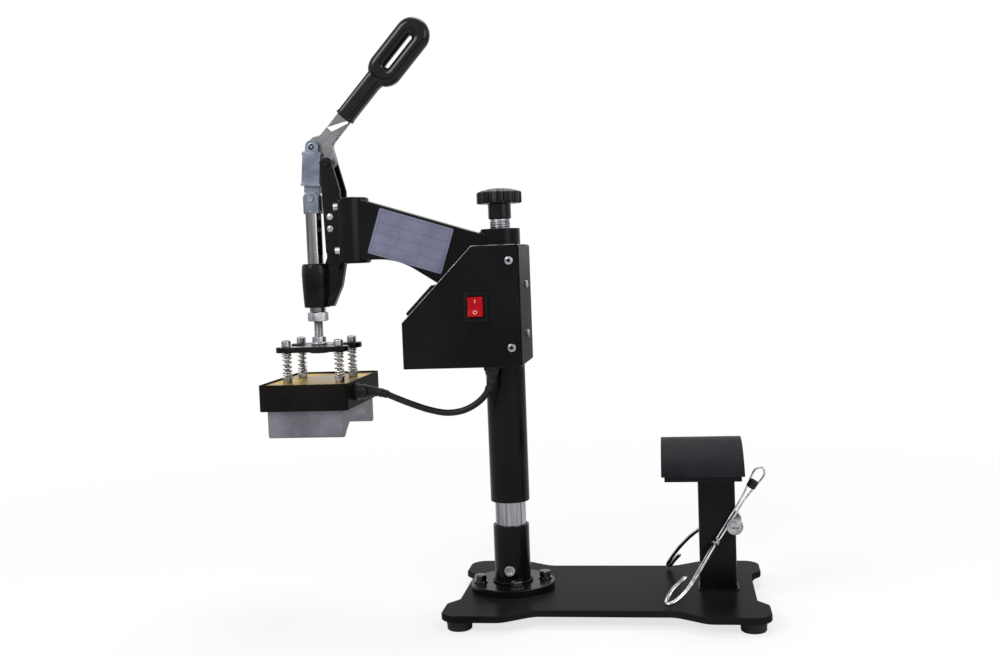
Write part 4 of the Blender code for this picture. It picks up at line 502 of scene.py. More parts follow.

# Post. Thick steel tube, ground and hard chromed; its gloss is blotched as by greasy smears.
# On the short length that the arm leaves bare, its colour runs in lengthwise streaks: painted reflections.
post_chrome_painted_streaks = material_of("post_chrome_painted_streaks", (0.13, 0.125, 0.15), (0.46, 0.45, 0.48), (0.10, 0.30), 1.0,
                          fine=130.0, blotch=70.0, stretch=(1.0, 1.0, 0.05), bump=0.05, depth=0.0001,
                          drive="Fine")
post_profile = [(0.0146, 0.0222), (0.01905, 0.0222), (0.01905, 0.4050), (0.0146, 0.4050)]
finish_with(turned("chromed_post", post_profile, (column_x, 0, 0), edge=0.0008, around=128, ring=True),
            post_chrome_painted_streaks, "stand", "chrome", ("column_post",))

# Cap stand. A black rectangular tube welded to the base carries a flat plate, two end
# ribs and the bent steel platen; a dark silicone pad is bonded over the bend.


def softened(name, node, width, segments=2, angle=28, smooth=40):
    """A merged copy of a solid whose sharp edges get a small rounded bevel."""
    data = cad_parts[node].data.copy()
    data.name = name
    shape = bmesh.new()
    shape.from_mesh(data)
    bmesh.ops.remove_doubles(shape, verts=shape.verts, dist=0.000004)
    bmesh.ops.dissolve_limit(shape, angle_limit=math.radians(1.0), verts=shape.verts, edges=shape.edges)
    shape.to_mesh(data)
    shape.free()
    for extra in [a.name for a in data.attributes if a.name == "custom_normal"]:
        data.attributes.remove(data.attributes[extra])
    data.shade_smooth()
    data.set_sharp_from_angle(angle=math.radians(smooth))
    made = bpy.data.objects.new(name, data)
    bpy.context.collection.objects.link(made)
    bevel = made.modifiers.new("eased_edges", "BEVEL")
    bevel.width = width
    bevel.segments = segments
    bevel.limit_method = "ANGLE"
    bevel.angle_limit = math.radians(angle)
    bevel.miter_outer = "MITER_ARC"
    bevel.harden_normals = False
    return made


finish_with(softened("stand_tube", "stand_post", 0.0006), black_coat, "stand", "black_coat", ("stand_post",))
finish_with(softened("platen_bed", "platen_base", 0.0006), black_coat, "stand", "black_coat", ("platen_base",))
bend_middle = 0.1703 - math.sqrt(0.099 ** 2 - 0.07535 ** 2)


def bent(name, outer, inner, half_length, edge):
    """A band between two arcs about the bend's middle, cut off level at the platen's edge."""
    spread_out = math.acos((0.1703 - bend_middle) / outer)
    spread_in = math.acos((0.1703 - bend_middle) / inner)
    over, under = np.linspace(-spread_out, spread_out, 64), np.linspace(spread_in, -spread_in, 64)
    outline = np.vstack([np.stack([outer * np.sin(over), bend_middle + outer * np.cos(over)], 1),
                         np.stack([inner * np.sin(under), bend_middle + inner * np.cos(under)], 1)])
    return slab(name, outline, platen_x - half_length, platen_x + half_length, "X", edge)


pad_silicone = material_of("pad_silicone", (0.0045, 0.0045, 0.0068), (0.0095, 0.0095, 0.0140), (0.42, 0.60),
                           fine=1500.0, blotch=22.0, bump=0.25, depth=0.0002, level=0.06)
finish_with(bent("bent_platen", 0.0957, 0.0907, 0.0444, 0.0006), black_coat, "stand", "black_coat",
            ("cap_platen",))
finish_with(bent("silicone_pad", 0.0990, 0.0960, 0.0480, 0.0008), pad_silicone, "stand", "rubber",
            ("platen_pad",))
stand_x = platen_x + 0.0168
seam_outline = filleted([(stand_x - 0.0232, -0.0152, 0.003), (stand_x + 0.0232, -0.0152, 0.003),
                         (stand_x + 0.0232, 0.0152, 0.003), (stand_x - 0.0232, 0.0152, 0.003)], 8)
seam_path = np.column_stack([seam_outline, np.full(len(seam_outline), 0.0216)])
finish_with(swept("stand_weld", seam_path, 0.0012, 10, closed=True), black_coat, "stand", "black_coat")

# Cap bail. Polished 5 mm spring rod, bent by hand into two hooks, turning on a shaft with
# grooved hubs; a hairpin of thin wire with an eye is crimped to the near rod.
bail_chrome = material_of("bail_chrome", (0.26, 0.26, 0.28), (0.72, 0.72, 0.73), (0.06, 0.16), 1.0,
                          fine=1800.0, blotch=120.0, bump=0.05, depth=0.00005)
bail_x, bail_z, bail_hub = platen_x + 0.0373, 0.1000, 0.0195


def bail_places(shares, side):
    """Places along a bail rod: reach, spread and drop as shares of the bail's three sizes."""
    shares = np.array(shares)
    return np.stack([bail_x - shares[:, 0] * 0.083, side * (bail_hub + shares[:, 1] * (0.088 - bail_hub)),
                     bail_z - shares[:, 2] * 0.0745], 1)


near_shares = [(0.26, 0.0, 0.228), (0.477, 0.358, 0.537), (0.676, 0.708, 0.805),
               (0.827, 0.912, 0.94), (0.947, 1.0, 1.0), (1.0, 0.956, 1.0),
               (0.983, 0.854, 0.953), (0.90, 0.737, 0.832), (0.706, 0.621, 0.658)]
far_shares = [(0.14, 0.0, -0.075), (0.29, 0.03, 0.0), (0.456, 0.088, 0.148),
              (0.634, 0.255, 0.336), (0.80, 0.486, 0.577), (0.915, 0.743, 0.80),
              (0.975, 0.91, 0.94), (0.99, 0.987, 1.0), (0.945, 0.91, 0.985),
              (0.88, 0.743, 0.86), (0.79, 0.621, 0.725)]


def rod_radii(count, radius):
    """Radii along a rod: full, but drawn in over the last few rows, so that its ends are domed."""
    ease = np.minimum(np.arange(count), np.arange(count)[::-1]) / 3.0
    return radius * np.sqrt(np.clip(1 - (1 - np.clip(ease, 0.02, 1)) ** 2, 0.04, 1))


near_path = follow(bail_places(near_shares, -1), 12)
far_seat = [(bail_x, bail_hub, bail_z + 0.0056 + 0.0024 + 0.0003)]
far_path = follow(np.vstack([far_seat, bail_places(far_shares, 1)]), 12)
finish_with(swept("bail_hook_near", near_path, rod_radii(len(near_path), 0.0024), 24), bail_chrome,
            "bail", "chrome", ("bail_rod_near",))
finish_with(swept("bail_hook_far", far_path, rod_radii(len(far_path), 0.0024), 24), bail_chrome,
            "bail", "chrome", ("bail_rod_far",))
hub_side = [(0.0040, 0.0146), (0.0098, 0.0146), (0.0098, 0.0168), (0.0056, 0.0168), (0.0056, 0.0222),
            (0.0098, 0.0222), (0.0098, 0.02374), (0.0067, 0.02374), (0.0067, 0.02874), (0.0003, 0.02874)]
hub_profile = [(r, -y) for r, y in reversed(hub_side)] + hub_side
finish_with(turned("bail_axle", hub_profile, (bail_x, 0, bail_z), "Y", edge=0.0005), zinc_plate,
            "bail", "chrome", ("bail_shaft",))
# Each end of the shaft gets a thin black slab where a screwdriver slot would be: painted shade, not a cut.
for slot_side in (-1, 1):
    slot_y = slot_side * 0.02885
    slot_outline = [(bail_x - 0.0045, bail_z - 0.0006), (bail_x + 0.0045, bail_z - 0.0006),
                    (bail_x + 0.0045, bail_z + 0.0006), (bail_x - 0.0045, bail_z + 0.0006)]
    slot_painted_shade = slab("axle_slot_painted_shade_%s" % ("near" if slot_side < 0 else "far"), slot_outline,
                     min(slot_y, slot_y - slot_side * 0.0003), max(slot_y, slot_y - slot_side * 0.0003),
                     "Y", 0.00005)
    finish_with(slot_painted_shade, black_coat, "bail", "black_coat")
near_top = near_path[0]
near_aim = near_path[0] - near_path[3]
near_aim /= np.linalg.norm(near_aim)
collar_path = near_top + near_aim * np.linspace(-0.00375, 0.00375, 9)[:, None] - near_aim * 0.00375 / 1.0
collar_radii = 0.0046 * np.array([0.55, 0.9, 1.0, 0.93, 1.0, 0.93, 1.0, 0.9, 0.55])
finish_with(swept("bail_crimp", collar_path, collar_radii, 32), zinc_plate, "bail", "chrome")
wire_start = near_top + near_aim * (2 * 0.0003 + 0.0012)
wire_start[1] = near_top[1]
hub_reach = np.array([bail_x, 0, bail_z]) - wire_start
hub_miss = 0.0056 + 0.0003 + 0.0012 + 0.0019
wire_lift = math.atan2(hub_reach[2], hub_reach[0]) + math.asin(hub_miss / math.hypot(hub_reach[0], hub_reach[2]))
wire_pull = np.array([math.cos(wire_lift), 0, math.sin(wire_lift)])
wire_across = np.array([wire_pull[2], 0, -wire_pull[0]])
wire_half = [(0.0992 * r, 0.0019 + 0.0041 * g) for r, g in zip((0.0, 0.35, 0.62, 0.76, 0.88, 0.97),
                                                             (0.0, 0.0, 0.12, 0.55, 0.95, 1.0))]
wire_whole = wire_half + [(0.0992 + 0.0060 * 0.55, 0)] + [(r, -g) for r, g in reversed(wire_half)]
wire_route = [wire_start + wire_pull * r + wire_across * g for r, g in wire_whole]
finish_with(swept("bail_hairpin", follow(wire_route, 8), 0.0012, 16, closed=True), bail_chrome,
            "bail", "chrome", ("bail_loop",))
tip_path = wire_start + wire_pull * (0.074 + np.linspace(0, 0.011, 12)[:, None])
tip_radii = 0.0058 * np.sqrt(np.clip(1 - (np.linspace(-1, 1, 12) ** 8) * 0.6, 0.1, 1))
finish_with(swept("bail_slider", tip_path, tip_radii, 32), foot_rubber, "bail", "rubber", ("bail_tip",))

# Swing tube. A black sleeve that turns and climbs on the post. Two bronze bushes are
# pressed in its bore, and a threaded steel plug closes its top.
bush_bronze = material_of("bush_bronze", (0.36, 0.22, 0.09), (0.52, 0.34, 0.15), (0.28, 0.44), 1.0,
                          fine=1100.0, blotch=80.0, bump=0.12, depth=0.0001)
turned_steel = material_of("turned_steel", (0.13, 0.125, 0.12), (0.30, 0.29, 0.28), (0.20, 0.36), 1.0,
                           fine=90.0, blotch=60.0, stretch=(1.0, 1.0, 30.0), bump=0.15, depth=0.0001)
sleeve_profile = [(0.02145, 0.1305), (0.0242, 0.1305), (0.0242, 0.4675), (0.02145, 0.4675)]
finish_with(turned("swing_sleeve", sleeve_profile, (column_x, 0, 0), edge=0.0010, around=144, ring=True),
            black_coat, "arm", "black_coat", ("swing_tube",))
for bush_name, bush_low in (("lower", 0.1345), ("upper", 0.3697)):
    bush_profile = [(0.01935, bush_low), (0.02115, bush_low), (0.02115, bush_low + 0.022),
                    (0.01935, bush_low + 0.022)]
    finish_with(turned("bronze_bush_" + bush_name, bush_profile, (column_x, 0, 0), edge=0.0004,
                       around=96, ring=True), bush_bronze, "arm", "bronze", ("swing_bush_" + bush_name,))
plug_profile = [(0.01305, 0.4495), (0.02115, 0.4495), (0.02115, 0.4672), (0.0140, 0.4672), (0.01305, 0.4662)]
finish_with(turned("threaded_plug", plug_profile, (column_x, 0, 0), edge=0.0003, around=96, ring=True),
            turned_steel, "arm", "bright_steel", ("tube_plug",))

# Thrust cap, pressure screw and knob. The zinc-plated screw bears on a steel cap on the
# post; its 3 mm thread runs up through the plug into a moulded, fluted black knob.
cap_profile = [(0.0002, 0.3930), (0.0138, 0.3930), (0.01425, 0.3934), (0.01425, 0.4053), (0.0186, 0.4053),
               (0.0186, 0.4143), (0.0002, 0.4143)]
finish_with(turned("post_thrust_cap", cap_profile, (column_x, 0, 0), edge=0.0005, around=96),
            turned_steel, "thrust", "bright_steel", ("thrust_cap",))


def threaded(name, radius, low, high, centre, pitch, depth, around=48, per_pitch=8):
    """A screw: the radius dips by a triangle wave of height over pitch, less the turn."""
    count = int((high - low) / pitch * per_pitch)
    height = np.linspace(low, high, count + 1)[:, None]
    turn = (2 * np.pi * np.arange(around) / around)[None]
    wave = np.abs(((height / pitch - turn / (2 * np.pi)) % 1) * 2 - 1)
    lead_in = np.clip(np.minimum(height - low, high - height) / pitch, 0, 1)
    bulk = radius - depth * (1 - lead_in * np.clip(1.25 * wave, 0, 1))
    points = np.stack(np.broadcast_arrays(bulk * np.cos(turn), bulk * np.sin(turn), height + 0 * turn), -1)
    return grid_mesh(name, points + np.array(centre, float))


finish_with(threaded("cut_thread", 0.01275, 0.4147, 0.4787, (column_x, 0, 0), 0.003, 0.0011, 64, 10),
            zinc_plate, "knob", "bright_steel", ("pressure_screw",))
knob_plastic = material_of("knob_plastic", (0.0024, 0.0023, 0.0028), (0.0055, 0.0052, 0.0060), (0.12, 0.20),
                           fine=1500.0, blotch=40.0, bump=0.08, depth=0.0001, level=0.2)
knob_rows = np.array([(0.0088, 0.4790, 0.0), (0.0121, 0.4790, 0.0), (0.0136, 0.4796, 0.0),
                      (0.0141, 0.4812, 0.0), (0.0141, 0.4965, 0.0), (0.0146, 0.4975, 0.0),
                      (0.0165, 0.4980, 0.1), (0.0220, 0.4980, 0.7), (0.0262, 0.4981, 1.0),
                      (0.0274, 0.4986, 1.0), (0.0279, 0.4997, 1.0), (0.0279, 0.5108, 1.0),
                      (0.0275, 0.5119, 1.0), (0.0262, 0.5126, 0.95), (0.0240, 0.5133, 0.6),
                      (0.0220, 0.5140, 0.2), (0.0190, 0.5149, 0.0), (0.0140, 0.5161, 0.0),
                      (0.0080, 0.5169, 0.0), (0.0003, 0.5172, 0.0)])
knob_turn = (2 * np.pi * np.arange(14 * 16) / (14 * 16))[None]
knob_dip = 0.0034 * (0.5 - 0.5 * np.cos(14 * knob_turn)) ** 1.4
knob_radius = knob_rows[:, :1] - knob_rows[:, 2:] * knob_dip
knob_points = np.stack([column_x + knob_radius * np.cos(knob_turn), knob_radius * np.sin(knob_turn),
                        knob_rows[:, 1:2] + 0 * knob_turn], -1)
finish_with(grid_mesh("fluted_knob", knob_points, sharp=60), knob_plastic, "knob", "plastic",
            ("pressure_knob",))

# Arm beam. Folded and welded 4 mm plate, its top straight and its underside hollowed,
# welded to the sleeve and let into the half-round end block; all one black coat.
curve_lean = math.radians(33)
curve_turn = np.linspace(curve_lean, 0, 24)
arm_low = 0.4352
root_low = arm_low - 0.085 * (1 - math.cos(curve_lean)) - (0.152 - 0.085 * math.sin(curve_lean)
                                                           - 0.0175) * math.tan(curve_lean)
arm_outline = [(column_x - 0.0175, root_low)]
arm_outline += [(column_x - 0.152 + 0.085 * math.sin(t), arm_low - 0.085 * (1 - math.cos(t)))
                for t in curve_turn]
arm_outline += [(column_x - 0.1758, arm_low), (column_x - 0.1758, 0.4628 + 0.324 * 0.1516),
                (column_x - 0.0175, 0.4628 - 0.324 * 0.0067)]
finish_with(slab("folded_beam", arm_outline, -0.018, 0.018, "Y", 0.0026, 6), black_coat, "arm",
            "black_coat", ("arm_beam",))
boss_turn = np.linspace(-np.pi / 2, np.pi / 2, 49)
boss_outline = np.stack([column_x - 0.192 + 0.027 * np.cos(boss_turn), 0.027 * np.sin(boss_turn)], 1)
finish_with(slab("end_block", boss_outline, 0.4315, 0.5135, "Z", 0.0034, 6), black_coat, "arm",
            "black_coat", ("arm_boss",))
bead_turn = np.linspace(-0.84, 0.84, 60)
bead_reach = 0.0246 * np.cos(bead_turn)
bead_path = np.stack([column_x - bead_reach, 0.0246 * np.sin(bead_turn),
                      0.4632 + 0.324 * (bead_reach - 0.0242) + 0.0003 * np.sin(50 * bead_turn)], 1)
bead_ends = [np.array([[column_x - 0.0168, s * 0.0184, z] for z in np.linspace(0.4480, 0.4600, 8)])
             for s in (-1, 1)]
finish_with(swept("arm_weld", np.vstack([bead_ends[0], bead_path, bead_ends[1][::-1]]), 0.0015, 10),
            black_coat, "arm", "black_coat")

# Rating plate. A thin silver foil plate stuck along the beam's top edge. It is left
# bare but for a fine ruled frame and the lines of an empty table.
plate_foil = material_of("plate_foil", (0.125, 0.130, 0.200), (0.165, 0.170, 0.250), (0.34, 0.46), 0.55,
                         fine=260.0, blotch=30.0, stretch=(1.0, 1.0, 14.0), bump=0.05, depth=0.0001)
rule_ink = material_of("rule_ink", (0.022, 0.022, 0.034), (0.040, 0.040, 0.060), (0.5, 0.7), fine=1500.0,
                       blotch=200.0, bump=0.05, depth=0.00005)
plate_corner = np.array([column_x - 0.1462, 0.4628 + 0.324 * 0.122 - 0.0037])
plate_along = np.array([math.cos(math.atan(0.324)), -math.sin(math.atan(0.324))])
plate_down = np.array([-plate_along[1], plate_along[0]]) * -1


def plate_spot(pairs):
    """Places on the plate, from its top left corner: along its top edge, and down its side."""
    return [tuple(plate_corner + plate_along * p + plate_down * q) for p, q in pairs]


plate_corners = filleted([(0, 0, 0.0022), (0.0965, 0, 0.0022), (0.0965, 0.0575, 0.0022),
                          (0, 0.0575, 0.0022)], 6)
finish_with(slab("foil_plate", plate_spot(plate_corners), -0.0191, -0.0183, "Y", 0.0002), plate_foil,
            "arm", "plate_silver", ("rating_plate",))
for rule_number, (left, top, right, low) in enumerate(
        [(0.003, 0.0030, 0.0935, 0.0034), (0.003, 0.0541, 0.0935, 0.0545), (0.003, 0.0030, 0.0034, 0.0545),
         (0.0931, 0.0030, 0.0935, 0.0545), (0.003, 0.0170, 0.0935, 0.0174), (0.003, 0.0296, 0.0935, 0.0299),
         (0.003, 0.0420, 0.0935, 0.0423), (0.0320, 0.0170, 0.0323, 0.0545), (0.0620, 0.0170, 0.0623, 0.0545)], 1):
    finish_with(slab("plate_rule_%d" % rule_number,
                     plate_spot([(left, top), (right, top), (right, low), (left, low)]),
                     -0.01913, -0.0190, "Y", 0.00002, 1), rule_ink, "arm", "plastic")

# Toggle frame. One iron casting in black enamel: flange, guide barrel, ribbed web and two
# ears. Four zinc socket screws hold it to the end block, and two spacers tie the ears.
cast_enamel = material_of("cast_enamel", (0.0022, 0.0021, 0.0024), (0.0056, 0.0053, 0.0060), (0.15, 0.26),
                          fine=420.0, blotch=36.0, bump=0.22, depth=0.0003, level=0.15,
                          worn=(0.045, 0.043, 0.045))
pin_x, pin_z, hinge_x, hinge_z, fork_z = -0.2224, 0.557, -0.2399, 0.578, 0.5142
barrel_profile = [(0.0104, 0.3781), (0.0158, 0.3780), (0.0163, 0.3786), (0.0168, 0.3860), (0.0174, 0.3980),
                  (0.0179, 0.4110), (0.0181, 0.4210), (0.0179, 0.4275), (0.0172, 0.4312),
                  (0.0158, 0.4330), (0.0104, 0.4330)]
finish_with(turned("guide_barrel", barrel_profile, (head_x, 0, 0), edge=0.0007, around=128, ring=True),
            cast_enamel, "arm", "black_cast", ("toggle_frame",))
mount_outline = filleted([(-0.027, 0.4315, 0.006), (0.027, 0.4315, 0.006), (0.027, 0.5135, 0.006),
                          (-0.027, 0.5135, 0.006)], 8)
finish_with(slab("frame_flange", mount_outline, head_x + 0.0390, head_x + 0.0439, "X", 0.0011),
            cast_enamel, "arm", "black_cast")
ear_outline = filleted([(head_x + 0.019, 0.4435, 0.004), (pin_x - 0.0068, pin_z + 0.0068, 0.0064),
                        (pin_x + 0.0068, pin_z + 0.0068, 0.0064), (head_x + 0.0400, 0.5230, 0.006),
                        (head_x + 0.0400, 0.4435, 0)], 12)
for ear_side, ear_low in (("near", -0.0172), ("far", 0.0125)):
    finish_with(slab("frame_ear_" + ear_side, ear_outline, ear_low, ear_low + 0.0047, "Y", 0.0009),
                cast_enamel, "arm", "black_cast")
web_low, knee_low = 0.3790, 0.4045
core_outline = [(head_x + p, q) for p, q in ((0.012, web_low + 0.001), (0.0218, web_low + 0.001),
                                             (0.0335, knee_low), (0.0395, 0.4335), (0.0395, 0.4460),
                                             (0.018, 0.4460), (0.012, 0.4300))]
finish_with(slab("frame_web", core_outline, -0.0033, 0.0033, "Y", 0.0006), cast_enamel, "arm", "black_cast")
rib_outline = [(head_x + p, q) for p, q in ((0.010, web_low), (0.0223, web_low), (0.0341, knee_low),
                                            (0.0398, 0.4330), (0.0398, 0.4465), (0.0165, 0.4465),
                                            (0.0165, 0.4315), (0.0355, 0.4315), (0.0292, 0.4068),
                                            (0.0205, 0.3905), (0.010, 0.3905))]
finish_with(slab("web_rib", rib_outline, -0.006, 0.006, "Y", 0.0012), cast_enamel, "arm", "black_cast")
gusset_outline = [(head_x + p, q) for p, q in ((0.0325, 0.4250), (0.0398, 0.4400), (0.0398, 0.5100),
                                               (0.0345, 0.5000), (0.0345, 0.4400))]
finish_with(slab("frame_gusset", gusset_outline, -0.0130, 0.0130, "Y", 0.0009), cast_enamel, "arm",
            "black_cast")


def cap_screw(name, centre, axis, face, way, radius, tall, key, dome=0.0):
    """A socket screw's head: a drum with an eased rim, whose top dips along a hexagon."""
    turn = 2 * np.pi * np.arange(72) / 72
    hexed = key / np.cos((turn + np.pi / 6) % (np.pi / 3) - np.pi / 6)
    rows = [(radius * 0.98 + 0 * turn, 0.0), (radius + 0 * turn, tall * 0.06),
            (radius + 0 * turn, tall * (0.86 - dome)), (radius * 0.96 + 0 * turn, tall * (0.96 - dome)),
            (radius * 0.88 + 0 * turn, tall * (1.0 - dome * 0.8)),
            (np.maximum(radius * 0.70, hexed * 1.08) + 0 * turn, tall * (1.0 - dome * 0.3)),
            (hexed * 1.04, tall), (hexed, tall - 0.0002), (hexed, tall * 0.42), (hexed * 0.5, tall * 0.38),
            (0.0002 + 0 * turn, tall * 0.36)]
    bulk = np.array([row[0] for row in rows])
    rise = np.array([[face + way * row[1]] for row in rows]) + 0 * bulk
    points = laid(bulk * np.cos(turn), bulk * np.sin(turn), rise, axis)
    return grid_mesh(name, points + np.array(centre, float), sharp=30)


for screw_number, (screw_y, screw_z) in enumerate([(y, z) for y in (-0.019, 0.019)
                                                    for z in (0.4477, 0.5020)], 1):
    finish_with(cap_screw("frame_screw_%d" % screw_number, (0, screw_y, screw_z), "X", head_x + 0.0391,
                          -1, 0.0056, 0.0068, 0.0025), zinc_plate, "arm", "zinc")
for spacer_number, spacer_z in enumerate((0.4905, 0.4756), 1):
    spacer_half = [(0.0030, 0.0120), (0.0030, 0.0171), (0.0043, 0.0171), (0.0042, 0.0178), (0.0033, 0.0186),
                   (0.0018, 0.0190), (0.0002, 0.0191)]
    spacer_profile = [(r, -y) for r, y in reversed(spacer_half)] + spacer_half
    finish_with(turned("ear_spacer_%d" % spacer_number, spacer_profile, (head_x + 0.0262, 0, spacer_z), "Y",
                       around=48), zinc_plate, "arm", "zinc")
hinge_half = [(0.0040, 0.0060), (0.0040, 0.0175), (0.0065, 0.0175), (0.0065, 0.0186), (0.0058, 0.0194),
              (0.0030, 0.0197), (0.0026, 0.0191), (0.0002, 0.0190)]
finish_with(turned("riveted_pin", [(r, -y) for r, y in reversed(hinge_half)] + hinge_half,
                   (pin_x, 0, pin_z), "Y", edge=0.0003), cast_enamel, "arm", "black_cast", ("handle_pin",))

# Lever. 10 mm flat steel, blanked with two eyes and left bright: drawn marks run along it.
# A shallow joggle runs across it from corner to corner just below the grip.
lever_lean = math.radians(48)
lever_along = np.array([math.cos(lever_lean), math.sin(lever_lean)])
lever_beside = np.array([math.sin(lever_lean), -math.cos(lever_lean)])
drawn_steel = material_of("drawn_steel", (0.14, 0.142, 0.15), (0.24, 0.242, 0.25), (0.22, 0.40), 1.0,
                          fine=1900.0, blotch=26.0, turn=lever_lean, stretch=(0.03, 1.0, 1.0), bump=0.14,
                          depth=0.0001, drive="Fine", worn=(0.46, 0.46, 0.47))


def on_lever(corners):
    """Places along and beside the lever, turned into the side view; roundings kept."""
    return [(*(np.array([pin_x, pin_z]) + lever_along * s + lever_beside * t), *rest)
            for s, t, *rest in corners]


eye = np.array([hinge_x - pin_x, hinge_z - pin_z])
eye_s, eye_t = eye.dot(lever_along), eye.dot(lever_beside)
hub_outline = filleted(on_lever([(0.034, -0.0298, 0.0005), (0.034, -0.0108, 0.0005), (0.021, -0.0108, 0.0085),
                                 (0.0085, 0.0085, 0.0080), (-0.0085, 0.0085, 0.0080),
                                 (eye_s - 0.009, eye_t - 0.009, 0.0085), (eye_s + 0.009, eye_t - 0.009, 0.0085),
                                 (0.021, -0.0298, 0.0085)]), 12)
finish_with(slab("lever_hub", hub_outline, -0.005, 0.005, "Y", 0.0007), drawn_steel, "handle",
            "bright_steel", ("handle_lever",))


def lofted(name, rows, sharp=40):
    """Closed rings of points joined in order, each ring an (n, 3) array."""
    return grid_mesh(name, np.array(rows), sharp=sharp)


bar_ring = filleted([(-0.0095, -0.00485, 0.0008), (0.0095, -0.00485, 0.0008), (0.0095, 0.00485, 0.0008),
                     (-0.0095, 0.00485, 0.0008)], 4)
across_steps = np.linspace(-0.0085, 0.0085, 35)
bar_ring = np.vstack([bar_ring[:5], np.stack([across_steps, 0 * across_steps - 0.00485], 1),
                      bar_ring[5:15], np.stack([across_steps[::-1], 0 * across_steps + 0.00485], 1),
                      bar_ring[15:]])
bar_rows = []
for bar_s in np.concatenate([np.linspace(0.029, 0.064, 90), np.linspace(0.068, 0.110, 8)]):
    bar_t = bar_ring[:, 0] - 0.0203
    ramp = np.clip(0.0025 + 0.22 * (0.0562 - bar_s), 0.0025, 0.0085)
    joggle = 0.25 * np.clip(0.42 * (bar_s - 0.0562) - 0.908 * (bar_ring[:, 0] - 0.0095), 0, ramp)
    flat_spot = (np.array([pin_x, pin_z]) + lever_along * bar_s + lever_beside * bar_t[:, None])
    bar_rows.append(np.stack([flat_spot[:, 0], bar_ring[:, 1] + joggle, flat_spot[:, 1]], 1))
finish_with(lofted("lever_bar", bar_rows), drawn_steel, "handle", "bright_steel")

# Grip. Thick black vinyl dipped over the forged loop, shiny and slightly lumpy: a ring
# with a long open slot, drawn in to a flat sleeve where it ends in a rolled lip.
grip_vinyl = material_of("grip_vinyl", (0.0020, 0.0021, 0.0024), (0.0046, 0.0045, 0.0050), (0.10, 0.20),
                         fine=260.0, blotch=60.0, bump=0.06, depth=0.0004, level=0.12)
grip_vinyl.node_tree.nodes["Principled BSDF"].inputs["Coat Weight"].default_value = 0.20
grip_vinyl.node_tree.nodes["Principled BSDF"].inputs["Coat Roughness"].default_value = 0.08
ring_turn = np.linspace(0, 2 * np.pi, 48, endpoint=False)
loop_middle, loop_side = 0.1625, -0.0173


def puffed(across, thick, power):
    """A superellipse: |x/across|^power + |y/thick|^power = 1, walked by its angle."""
    c, s = np.cos(ring_turn), np.sin(ring_turn)
    return np.stack([across * np.sign(c) * np.abs(c) ** (2 / power),
                     thick * np.sign(s) * np.abs(s) ** (2 / power)], 1)


run, bow = 0.0262, 0.0123
loop_walk = np.linspace(0, 1, 120, endpoint=False)
loop_total = 2 * (2 * run) + 2 * np.pi * bow
loop_rows = []
for walked in loop_walk * loop_total:
    if walked < 2 * run:
        spot, out = (walked - run, bow), (0.0, 1.0)
    elif walked < 2 * run + np.pi * bow:
        angle = np.pi / 2 - (walked - 2 * run) / bow
        out = (math.cos(angle), math.sin(angle))
        spot = (run + bow * out[0], bow * out[1])
    elif walked < 4 * run + np.pi * bow:
        spot, out = (run - (walked - 2 * run - np.pi * bow), -bow), (0.0, -1.0)
    else:
        angle = -np.pi / 2 - (walked - 4 * run - np.pi * bow) / bow
        out = (math.cos(angle), math.sin(angle))
        spot = (-run + bow * out[0], bow * out[1])
    section = puffed(0.0097, 0.0100, 2.4)
    straight = min(max(spot[0], -run), run)
    drawn_in = 1 - 0.17 * (0.0097 - section[:, 0]) / (2 * 0.0097)
    place_s = loop_middle + straight * drawn_in + spot[0] - straight + out[0] * section[:, 0]
    place_t = loop_side + spot[1] + out[1] * section[:, 0]
    flat_spot = (np.array([pin_x, pin_z]) + lever_along * place_s[:, None] + lever_beside * place_t[:, None])
    loop_rows.append(np.stack([flat_spot[:, 0], section[:, 1], flat_spot[:, 1]], 1))
finish_with(grid_mesh("grip_loop", np.array(loop_rows), wrap_rows=True, sharp=80), grip_vinyl, "handle",
            "vinyl", ("handle_grip",))
sleeve_rows = []
for share in np.linspace(0, 1, 60):
    sleeve_s = 0.0562 + share * 0.072
    widen = np.clip((share - 0.72) / 0.28, 0, 1) ** 2
    lip = math.exp(-((sleeve_s - 0.0588) / 0.0016) ** 2) * 0.0009
    ease = math.sqrt(max(0.0, 1 - max(0.0, 1 - (sleeve_s - 0.0562) / 0.0012) ** 2))
    section = puffed((0.0114 + widen * 0.0035 + lip) * (0.82 + 0.18 * ease),
                     (0.0088 + widen * 0.0008 + lip) * (0.75 + 0.25 * ease), 4.0 - widen)
    flat_spot = (np.array([pin_x, pin_z]) + lever_along * sleeve_s
                 + lever_beside * (section[:, :1] - 0.0203 + widen * 0.0030))
    sleeve_rows.append(np.stack([flat_spot[:, 0], section[:, 1] + 0.0006, flat_spot[:, 1]], 1))
finish_with(lofted("grip_sleeve", sleeve_rows, 60), grip_vinyl, "handle", "vinyl")

